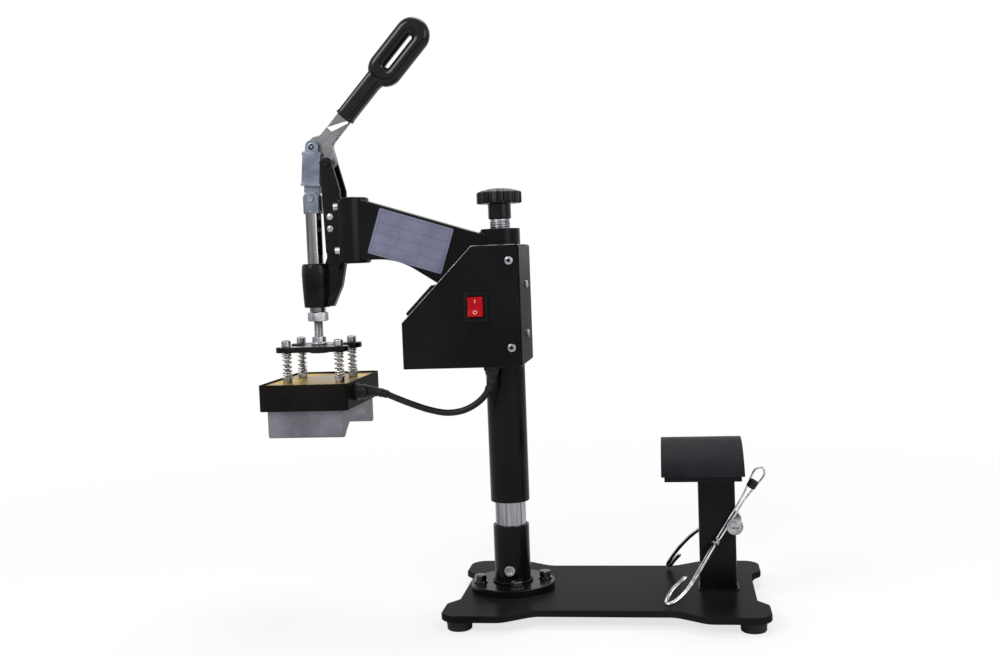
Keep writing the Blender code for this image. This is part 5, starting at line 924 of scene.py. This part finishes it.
# Toggle link. A block milled from bar, forked over the lever's eye and necked down into the
# plunger's fork; its corners are broken with a file, its pin is riveted flush.
milled_steel = material_of("milled_steel", (0.105, 0.125, 0.165), (0.20, 0.225, 0.275), (0.26, 0.42), 1.0,
                           fine=700.0, blotch=40.0, stretch=(1.0, 1.0, 0.08), bump=0.14, depth=0.0001,
                           worn=(0.42, 0.43, 0.45))
finish_with(softened("forked_link", "toggle_link", 0.0007), milled_steel, "link", "bright_steel",
            ("toggle_link",))
pin_half = [(0.0045, 0.0112), (0.0045, 0.01215), (0.0040, 0.0124), (0.0020, 0.0124), (0.0017, 0.0121),
            (0.0002, 0.0120)]
finish_with(turned("link_pin", [(r, -y) for r, y in reversed(pin_half)] + pin_half, (hinge_x, 0, hinge_z),
                   "Y", around=48), zinc_plate, "link", "zinc")
for band_number, band_s in enumerate((0.0085, 0.0468), 1):
    link_down = np.array([head_x - hinge_x, fork_z - hinge_z]) / 0.0640
    link_side = np.array([-link_down[1], link_down[0]])
    middle = np.array([hinge_x, hinge_z]) + link_down * band_s
    corners = [middle + link_down * a + link_side * b for a, b in ((-0.0014, -0.0124), (-0.0014, 0.0124),
                                                                   (0.0014, 0.0124), (0.0014, -0.0124))]
    spans = (("", -0.0122, 0.0122),) if band_number == 2 else (("_near", -0.0122, -0.0056),
                                                               ("_far", 0.0056, 0.0122))
    for span_side, span_low, span_high in spans:
        finish_with(slab("link_shoulder_%d%s" % (band_number, span_side), corners, span_low, span_high,
                         "Y", 0.0004), milled_steel, "link", "bright_steel")

# Plunger. A 20 mm hard-chromed rod that slides in the barrel; its top is slotted and
# flattened into a fork, and a pin is riveted through both cheeks.
# Its colour runs from dark brown to pale in streaks along the rod: painted reflections.
plunger_chrome_painted_streaks = material_of("plunger_chrome_painted_streaks", (0.050, 0.045, 0.043), (0.40, 0.39, 0.385), (0.08, 0.22), 1.0,
                             fine=110.0, blotch=70.0, stretch=(1.0, 1.0, 0.04), bump=0.04, depth=0.0001,
                             drive="Fine")
rod_profile = [(0.0002, 0.3723), (0.0094, 0.3723), (0.0100, 0.3731), (0.0100, 0.4984), (0.0093, 0.4992),
               (0.0002, 0.4992)]
finish_with(turned("chromed_plunger", rod_profile, (head_x, 0, 0), edge=0.0003, around=96), plunger_chrome_painted_streaks,
            "plunger", "chrome", ("plunger",))
for cheek_side in (-1, 1):
    cheek_name = "near" if cheek_side < 0 else "far"
    cheek_outline = filleted([(head_x - 0.0098, 0.4955, 0), (head_x + 0.0098, 0.4955, 0),
                              (head_x + 0.0098, 0.5219, 0.0066), (head_x - 0.0098, 0.5219, 0.0066)], 10)
    cheek_low = 0.0061 if cheek_side > 0 else -0.0098
    finish_with(slab("fork_cheek_" + cheek_name, cheek_outline, cheek_low, cheek_low + 0.0037, "Y", 0.0006),
                milled_steel, "plunger", "chrome")
    end_half = [(0.0002, 0.0065), (0.0044, 0.0065), (0.0044, 0.0107), (0.0040, 0.0112), (0.0017, 0.0112),
                (0.0014, 0.0107), (0.0002, 0.0106)]
    finish_with(turned("fork_pin_" + cheek_name, [(r, cheek_side * y) for r, y in end_half],
                       (head_x, 0, fork_z), "Y", around=48), zinc_plate, "plunger", "chrome")

# Stud and pressure plate. A zinc stud and its lock nut screw into the plunger; the collar
# clamps a cast plate of two bars and a round hub, enamelled black.
finish_with(threaded("adjusting_stud", 0.0058, 0.3206, 0.3650, (head_x, 0, 0), 0.00175, 0.0007),
            zinc_plate, "plunger", "zinc", ("head_stud",))
finish_with(hexagon("stud_lock_nut", 0.0229, 0.3606, 0.3720, (head_x, 0, 0), bore=0.0052), zinc_plate,
            "plunger", "zinc")
collar_profile = [(0.0050, 0.3312), (0.0102, 0.3312), (0.0102, 0.3330), (0.0088, 0.3345), (0.0085, 0.3408),
                  (0.0050, 0.3408)]
finish_with(turned("stud_collar", collar_profile, (head_x, 0, 0), edge=0.0005, ring=True), zinc_plate,
            "plunger", "zinc")
plate_low, plate_high = 0.3240, 0.3309
for bar_side in (-1, 1):
    bar_y = bar_side * 0.0308
    bar_outline = filleted([(head_x - 0.046, bar_y - 0.0115, 0.0104), (head_x + 0.046, bar_y - 0.0115, 0.0104),
                            (head_x + 0.046, bar_y + 0.0115, 0.0104), (head_x - 0.046, bar_y + 0.0115, 0.0104)], 12)
    named = {} if bar_side > 0 else {"replaced": ("pressure_plate",)}
    finish_with(slab("plate_bar_%s" % ("near" if bar_side < 0 else "far"), bar_outline, plate_low,
                     plate_high, "Z", 0.0009), cast_enamel, "plunger", "black_coat", **named)
bridge_outline = filleted([(head_x - 0.0135, -0.0250, 0.001), (head_x + 0.0135, -0.0250, 0.001),
                           (head_x + 0.0135, 0.0250, 0.001), (head_x - 0.0135, 0.0250, 0.001)], 4)
finish_with(slab("plate_bridge", bridge_outline, plate_low + 0.0003, plate_high - 0.0003, "Z", 0.0009),
            cast_enamel, "plunger", "black_coat")
hub_profile = [(0.0050, plate_low - 0.0035), (0.0120, plate_low - 0.0035), (0.0125, plate_low - 0.0028),
               (0.0125, plate_low - 0.0002), (0.0200, plate_low - 0.0001), (0.0200, plate_high + 0.0002),
               (0.0050, plate_high + 0.0002)]
finish_with(turned("plate_hub", hub_profile, (head_x, 0, 0), edge=0.0008, around=96, ring=True), cast_enamel,
            "plunger", "black_coat")

# Shoulder bolts and springs. Four bright socket bolts hang the head; each carries a nut and
# a washer on the cover, and a round-wire spring that pushes the head down.
spring_wire = material_of("spring_wire", (0.34, 0.34, 0.36), (0.66, 0.66, 0.68), (0.16, 0.30), 1.0,
                          fine=1600.0, blotch=150.0, bump=0.08, depth=0.00005)
bolt_places = [(head_x + sx * 0.0335, sy * 0.0308) for sx in (-1, 1) for sy in (-1, 1)]
for bolt_number, (bolt_x, bolt_y) in enumerate(bolt_places, 1):
    spot = (bolt_x, bolt_y, 0)
    shank_profile = [(0.0002, 0.2621), (0.0030, 0.2621), (0.0030, 0.3320), (0.0002, 0.3320)]
    finish_with(turned("shoulder_shank_%d" % bolt_number, shank_profile, spot, edge=0.0003, around=32),
                turned_steel, "head", "zinc", ("head_bolt_%d" % bolt_number,))
    finish_with(cap_screw("shoulder_head_%d" % bolt_number, spot, "Z", 0.3312, 1, 0.0058, 0.0082, 0.0026, 0.12),
                zinc_plate, "head", "zinc")
    finish_with(hexagon("seat_nut_%d" % bolt_number, 0.0107, 0.2867, 0.2919, spot, bore=0.0029,
                        turned_by=0.5 * bolt_number, around=48), zinc_plate, "head", "zinc")
    finish_with(turned("seat_washer_%d" % bolt_number, [(0.0029, 0.29195), (0.0072, 0.29195), (0.0072, 0.2933),
                                                       (0.0029, 0.2933)], spot, edge=0.0003, around=48,
                       ring=True), zinc_plate, "head", "zinc")
    coil_share = np.linspace(0, 1, 7 * 24 + 1)
    coil_turn = 2 * np.pi * 7 * coil_share
    coil_low, coil_high = 0.2936, 0.3237
    coil_rise = coil_low + 0.0009 + (coil_high - coil_low - 0.0018) * (
        coil_share - 0.075 * np.sin(2 * np.pi * coil_share))
    coil_path = np.stack([bolt_x + 0.0052 * np.cos(coil_turn), bolt_y + 0.0052 * np.sin(coil_turn),
                          coil_rise], 1)
    coil = swept("coil_spring_%d" % bolt_number, coil_path, 0.0010, 10)
    finish_with(coil, spring_wire, None, "bright_steel", ("head_spring_%d" % bolt_number,))
    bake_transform(coil, "plunger", "head", start=(bolt_x, bolt_y, coil_high), end=(bolt_x, bolt_y, coil_low))

# Heater. A folded black shroud with its joints spot-welded, closed by a gold-passivated
# cover, holds the element against a sand-cast and milled aluminium platen.
gold_cover = material_of("gold_cover", (0.17, 0.105, 0.022), (0.62, 0.40, 0.060), (0.28, 0.46), 0.85,
                         fine=800.0, blotch=15.0, bump=0.10, depth=0.0001)
cast_aluminium = material_of("cast_aluminium", (0.118, 0.111, 0.132), (0.198, 0.186, 0.218), (0.42, 0.58), 0.75,
                             fine=700.0, blotch=30.0, stretch=(1.0, 1.0, 5.0), bump=0.22, depth=0.0002,
                             worn=(0.40, 0.39, 0.41))


def walled(name, corners, low, high, wall, edge):
    """A wall carried round a rounded rectangle: up its outside, over the rim, down its inside;
    an inset deeper than the corners' radius ends in square corners."""
    outer = np.array(corners, float)
    if (np.roll(outer, -1, 0)[:, 0] * outer[:, 1] - outer[:, 0] * np.roll(outer, -1, 0)[:, 1]).sum() > 0:
        outer = outer[::-1]
    side = np.roll(outer, -1, 0) - outer
    side /= np.linalg.norm(side, axis=1)[:, None]
    inward = np.stack([-side[:, 1], side[:, 0]], 1)
    mitre = inward + np.roll(inward, 1, 0)
    mitre /= (mitre * inward).sum(1)[:, None]
    rows = [(edge, low), (0, low + edge), (0, high - edge), (edge, high), (wall - edge, high),
            (wall, high - edge), (wall, low + edge), (wall - edge, low)]
    points = [np.column_stack([np.clip(outer + mitre * inset, outer.min(0) + inset, outer.max(0) - inset),
                               np.full(len(outer), z)]) for inset, z in rows]
    return grid_mesh(name, np.array(points), wrap_rows=True, sharp=50)


shroud_corners = filleted([(head_x - 0.0552, -0.081, 0.006), (head_x + 0.0552, -0.081, 0.006),
                           (head_x + 0.0552, 0.081, 0.006), (head_x - 0.0552, 0.081, 0.006)], 10)
finish_with(walled("folded_shroud", shroud_corners, 0.2563, 0.2886, 0.0016, 0.0005), base_coat, "head",
            "black_coat", ("heater_shroud",))
cover_corners = filleted([(head_x - 0.0533, -0.0791, 0.005), (head_x + 0.0533, -0.0791, 0.005),
                          (head_x + 0.0533, 0.0791, 0.005), (head_x - 0.0533, 0.0791, 0.005)], 10)
finish_with(slab("gold_top_cover", cover_corners, 0.2844, 0.2864, "Z", 0.0004), gold_cover, "head",
            "gold_zinc", ("heater_cover",))
hollow_radius, hollow_half = 0.1002, 0.065
hollow_middle = 0.2230 - math.sqrt(hollow_radius ** 2 - hollow_half ** 2)
hollow_turn = np.linspace(-math.asin(hollow_half / hollow_radius), math.asin(hollow_half / hollow_radius), 60)
block_outline = [(-0.0712, 0.2230)] + [(hollow_radius * math.sin(t), hollow_middle + hollow_radius * math.cos(t))
                                       for t in hollow_turn]
block_outline += [(0.0712, 0.2230), (0.0732, 0.2270), (0.0732, 0.2680), (-0.0732, 0.2680), (-0.0732, 0.2270)]
finish_with(slab("hollow_platen", block_outline, head_x - 0.047, head_x + 0.047, "X", 0.0008),
            cast_aluminium, "head", "aluminium", ("heater_platen",))
element_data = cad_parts["heating_element"].data
element_data.materials.clear()
element_data.materials.append(turned_steel)

# Lead boots. Black moulded rubber: a flanged gland in the head's side with a tapered tail,
# and a nut and tail under the control box; the head's tail bends a little with the lead.
gland_profile = [(0.0044, 0.0555), (0.0105, 0.0555), (0.0105, 0.0592), (0.0092, 0.0600), (0.0088, 0.0690),
                 (0.0074, 0.0705), (0.0044, 0.0705)]
finish_with(turned("head_gland", gland_profile, (head_x, -0.041, 0.2745), "X", edge=0.0005, ring=True),
            lead_rubber, "head", "rubber", ("lead_gland",))


def tail_of(name, path, wide, narrow, rings):
    """A tapered sleeve along the lead, from wide to narrow, with shallow flexing grooves."""
    share = np.linspace(0, 1, len(path))
    bulk = wide + (narrow - wide) * share - 0.0007 * (np.sin(2 * np.pi * rings * share) > 0.55) * (share < 0.85)
    bulk[-1] = narrow - 0.0005
    return swept(name, path, bulk, 32)


head_tail_path = lead_path[(lead_path[:, 0] > -0.1760) & (lead_path[:, 0] < -0.1480)]
head_tail_path = np.array([np.interp(np.linspace(0, 1, 49), np.linspace(0, 1, len(head_tail_path)), column)
                           for column in head_tail_path.T]).T
head_tail = tail_of("head_gland_tail", head_tail_path, 0.0074, 0.0048, 5)
finish_with(head_tail, lead_rubber, None, "rubber")
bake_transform(head_tail, "head", "plunger", start=(-0.1740, -0.041, 0.2745), end=(-0.1500, -0.041, 0.2745))
nut_profile = [(0.0044, 0.3040), (0.0056, 0.3040), (0.0056, 0.3012), (0.0095, 0.3012), (0.0095, 0.2970),
               (0.0082, 0.2960), (0.0078, 0.2925), (0.0062, 0.2897), (0.0044, 0.2897)]
finish_with(turned("box_gland_nut", nut_profile, (-0.0199, -0.039, 0), edge=0.0004, ring=True), lead_rubber,
            "arm", "rubber", ("box_gland",))
box_tail_path = lead_path[(lead_path[:, 0] > -0.0262) & (lead_path[:, 2] > 0.2700)][::-1]
box_tail_path = np.array([np.interp(np.linspace(0, 1, 41), np.linspace(0, 1, len(box_tail_path)), column)
                          for column in box_tail_path.T]).T
finish_with(tail_of("box_gland_tail", box_tail_path, 0.0066, 0.0047, 4), lead_rubber, "arm", "rubber")

# Control box. 1.2 mm sheet folded into a shell round the sleeve and arm, with a flanged
# back cover; pan-head screws hold it together. The same black coat, edges a little worn;
# bright steel strips along the slope's folds are partly rubbed paint, partly a painted highlight.
finish_with(softened("box_shell", "control_box", 0.0005), black_coat, "arm", "black_coat",
            ("control_box",))
finish_with(softened("box_back", "control_box_back", 0.0004), base_coat, "arm", "black_coat",
            ("control_box_back",))
# Thin bare-steel strips along the slope's folds on both sides: partly rubbed paint, partly a painted highlight on the
# fold's edge.
for fold_side, fold_y in (("near", -0.05375), ("far", 0.05375)):
    fold_corners = np.array([(column_x - 0.1158, 0.3579), (column_x - 0.0286, 0.4470),
                             (column_x + 0.0240, 0.4472)])
    fold_spots = np.vstack([fold_corners[0] + (fold_corners[1] - fold_corners[0]) * np.linspace(0, 1, 60)[:, None],
                            fold_corners[1] + (fold_corners[2] - fold_corners[1]) * np.linspace(0.02, 1, 30)[:, None]])
    fold_path = np.column_stack([fold_spots[:, 0], np.full(len(fold_spots), fold_y), fold_spots[:, 1]])
    fold_bulk = 0.00042 + 0.00012 * np.sin(np.linspace(0, 40, len(fold_path)))
    finish_with(swept("worn_and_highlight_fold_" + fold_side, fold_path, fold_bulk, 8), drawn_steel, "arm", "bright_steel")
screw_number = 0
for screw_way in (-1, 1):
    for screw_reach, screw_z in ((-0.0164, 0.4284), (-0.0164, 0.3244)):
        screw_number += 1
        finish_with(cap_screw("box_screw_%d" % screw_number, (column_x - screw_reach, 0, screw_z), "Y",
                              screw_way * 0.0540, screw_way, 0.0050, 0.0027, 0.0019, 0.25), zinc_plate,
                    "arm", "zinc")
for screw_number, screw_z in enumerate((0.3985, 0.3380), 1):
    finish_with(cap_screw("back_screw_%d" % screw_number, (0, 0, screw_z), "X", column_x + 0.0288, 1, 0.0047,
                          0.0033, 0.0018, 0.25), zinc_plate, "arm", "zinc")

# Controller. A moulded panel instrument on the slope: soft black bezel, dark red window
# with lit figures, and three keys with plain arrow marks.
slope_low = np.array([column_x - 0.1165, 0.0, 0.3575])
slope_up = np.array([0.0882, 0.0, 0.0900]) / math.hypot(0.0882, 0.0900)
slope_out = np.array([-slope_up[2], 0.0, slope_up[0]])


def on_slope(name, outline, low, high, edge, arc=3):
    """A slab drawn as seen facing the slope: across to the right, up it, and out of it."""
    made = slab(name, outline, low, high, "Z", edge, arc)
    spots = np.empty(len(made.data.vertices) * 3)
    made.data.vertices.foreach_get("co", spots)
    spots = spots.reshape(-1, 3)
    spots = (slope_low + spots[:, :1] * np.array([0.0, -1.0, 0.0]) + spots[:, 1:2] * slope_up
             + spots[:, 2:] * slope_out)
    made.data.vertices.foreach_set("co", spots.ravel())
    made.data.update()
    return made


def panel(left, low, right, high, radius, steps=5):
    """A rectangle with rounded corners, as an outline."""
    return filleted([(left, low, radius), (right, low, radius), (right, high, radius), (left, high, radius)],
                    steps)


moulding = material_of("panel_moulding", (0.0042, 0.0042, 0.0046), (0.0085, 0.0085, 0.0090), (0.36, 0.50),
                       fine=2600.0, blotch=50.0, bump=0.25, depth=0.0001, level=0.08)
window_red = material_of("window_red", (0.030, 0.002, 0.002), (0.050, 0.003, 0.003), (0.06, 0.12), level=0.2,
                         fine=900.0, blotch=60.0, bump=0.02, depth=0.00005)
lit_figure = material_of("lit_figure", (0.55, 0.012, 0.008), (0.65, 0.018, 0.010), (0.3, 0.4), fine=900.0,
                         blotch=90.0, bump=0.02, depth=0.00005)
lit_figure.node_tree.nodes["Principled BSDF"].inputs["Emission Color"].default_value = (1.0, 0.03, 0.015, 1)
lit_figure.node_tree.nodes["Principled BSDF"].inputs["Emission Strength"].default_value = 0.9
mark_white = material_of("mark_white", (0.62, 0.62, 0.60), (0.74, 0.74, 0.72), (0.45, 0.6), fine=1200.0,
                         blotch=90.0, bump=0.05, depth=0.00005)
finish_with(on_slope("controller_bezel", panel(-0.048, 0.010, 0.048, 0.058, 0.0030), 0.0003, 0.0034, 0.0009),
            moulding, "arm", "plastic", ("controller",))
for rail_number, (left, low, right, high) in enumerate(((-0.0475, 0.0105, -0.0270, 0.0575),
                                                        (0.0270, 0.0105, 0.0475, 0.0575),
                                                        (-0.0275, 0.0548, 0.0275, 0.0575),
                                                        (-0.0275, 0.0105, 0.0275, 0.0142),
                                                        (-0.0275, 0.0250, 0.0275, 0.0320)), 1):
    finish_with(on_slope("bezel_rail_%d" % rail_number, panel(left, low, right, high, 0.0014), 0.0030, 0.0050,
                         0.0006), moulding, "arm", "plastic")
finish_with(on_slope("figure_window", panel(-0.0258, 0.0328, 0.0258, 0.0542, 0.0008), 0.0034, 0.00495, 0.0003),
            window_red, "arm", "window_plastic", ("controller_window",))
figure_strokes = {"1": "bc", "8": "abcdefg", "0": "abcdef"}
for figure_number, figure in enumerate("180"):
    figure_left = -0.0205 + 0.0150 * figure_number
    for stroke in figure_strokes[figure]:
        flat = stroke in "agd"
        low = {"a": 0.0512, "g": 0.0435, "d": 0.0358}.get(stroke, 0.0366 if stroke in "ce" else 0.0443)
        left = figure_left + (0.0009 if flat else (0.0 if stroke in "ef" else 0.0085))
        right = left + (0.0076 if flat else 0.0011)
        top = low + (0.0011 if flat else 0.0068)
        finish_with(on_slope("figure_%d_%s" % (figure_number + 1, stroke),
                             [(left, low), (right, low), (right, top), (left, top)], 0.0048, 0.00500, 0.00004, 1),
                    lit_figure, "arm", "red_plastic")
for key_number, key_middle in enumerate((0.018, 0.0, -0.018), 1):
    key_body = {1: "key_left", 2: "key_middle", 3: "key_right"}[key_number]
    finish_with(on_slope("push_key_%d" % key_number, panel(key_middle - 0.004, 0.0155, key_middle + 0.004, 0.0235,
                                                           0.0012), 0.0020, 0.0072, 0.0007), moulding, key_body,
                "plastic", ("key_%d" % key_number,))
    arrow = {1: [(-0.0018, 0.0008), (0.0018, 0.0008), (0.0, -0.0014)],
             2: [(-0.0014, -0.0014), (0.0014, -0.0014), (0.0014, 0.0014), (-0.0014, 0.0014)],
             3: [(-0.0018, -0.0008), (0.0018, -0.0008), (0.0, 0.0014)]}[key_number]
    finish_with(on_slope("key_mark_%d" % key_number, [(key_middle + p, 0.0195 + q) for p, q in arrow], 0.0071,
                         0.00724, 0.00004, 1), mark_white, key_body, "plastic")

# Power switch. A snap-in rocker: matt black frame, clear red rocker lit from behind with
# the plain I and O marks; it stands switched on.
rocker_x, rocker_y, rocker_z = -0.0339, -0.0565, 0.3743


def turn_mesh(made, pivot, angle):
    """Turn a finished mesh about an axis along X through a pivot."""
    spots = np.empty(len(made.data.vertices) * 3)
    made.data.vertices.foreach_get("co", spots)
    spots = spots.reshape(-1, 3) - pivot
    c, s = math.cos(angle), math.sin(angle)
    spots = spots @ np.array([[1, 0, 0], [0, c, -s], [0, s, c]]).T + pivot
    made.data.vertices.foreach_set("co", spots.ravel())
    made.data.update()
    return made


frame_corners = filleted([(rocker_x - 0.01455, -rocker_z - 0.01805, 0.0018), (rocker_x + 0.01455, -rocker_z - 0.01805, 0.0018),
                          (rocker_x + 0.01455, -rocker_z + 0.01805, 0.0018), (rocker_x - 0.01455, -rocker_z + 0.01805, 0.0018)], 6)
bezel_frame = walled("switch_frame", frame_corners, 0.0543, 0.0568, 0.0052, 0.0005)
spots = np.empty(len(bezel_frame.data.vertices) * 3)
bezel_frame.data.vertices.foreach_get("co", spots)
spots = spots.reshape(-1, 3)
bezel_frame.data.vertices.foreach_set("co", np.stack([spots[:, 0], -spots[:, 2], -spots[:, 1]], 1).ravel())
bezel_frame.data.update()
finish_with(bezel_frame, moulding, "arm", "plastic", ("switch_housing",))
well_outline = [(rocker_x - 0.0100, rocker_z - 0.0136), (rocker_x + 0.0100, rocker_z - 0.0136),
                (rocker_x + 0.0100, rocker_z + 0.0136), (rocker_x - 0.0100, rocker_z + 0.0136)]
finish_with(slab("switch_well", well_outline, -0.0545, -0.0420, "Y", 0.0005), moulding, "arm", "plastic")
rocker_red = material_of("rocker_red", (0.20, 0.001, 0.003), (0.35, 0.002, 0.006), (0.14, 0.24), fine=900.0,
                         blotch=120.0, bump=0.03, depth=0.0001, level=0.10)
rocker_red.node_tree.nodes["Principled BSDF"].inputs["Emission Color"].default_value = (0.9, 0.004, 0.012, 1)
rocker_red.node_tree.nodes["Principled BSDF"].inputs["Emission Strength"].default_value = 0.10
rocker_outline = filleted([(rocker_y - 0.0060, rocker_z + 0.0124, 0.0012), (rocker_y - 0.0030, rocker_z, 0.020),
                           (rocker_y - 0.0060, rocker_z - 0.0124, 0.0012), (rocker_y + 0.0030, rocker_z - 0.0099, 0.001),
                           (rocker_y + 0.0084, rocker_z, 0.002), (rocker_y + 0.0030, rocker_z + 0.0099, 0.001)], 8)
rocker_pivot = np.array([rocker_x, rocker_y, rocker_z])
finish_with(turn_mesh(slab("lit_rocker", rocker_outline, rocker_x - 0.0090, rocker_x + 0.0090, "X", 0.0008),
                      rocker_pivot, -math.radians(8)), rocker_red, "rocker", "red_plastic", ("switch_rocker",))
face_lean = math.atan(0.0030 / 0.0124)
ring_walk = np.linspace(0, 2 * np.pi, 40, endpoint=False)
ring_mark = swept("rocker_mark_o", np.stack([rocker_x + 0.0021 * np.cos(ring_walk),
                                             rocker_y - 0.0047 + 0.0021 * np.sin(ring_walk) * math.sin(face_lean),
                                             rocker_z - 0.0066 + 0.0021 * np.sin(ring_walk) * math.cos(face_lean)],
                                            1), 0.00030, 8, closed=True)
finish_with(turn_mesh(ring_mark, rocker_pivot, -math.radians(8)), mark_white, "rocker", "plastic")
bar_walk = np.linspace(-0.0021, 0.0021, 6)
bar_mark = swept("rocker_mark_i", np.stack([rocker_x + 0 * bar_walk,
                                            rocker_y - 0.0047 - bar_walk * math.sin(face_lean),
                                            rocker_z + 0.0066 + bar_walk * math.cos(face_lean)], 1), 0.00032, 8)
finish_with(turn_mesh(bar_mark, rocker_pivot, -math.radians(8)), mark_white, "rocker", "plastic")
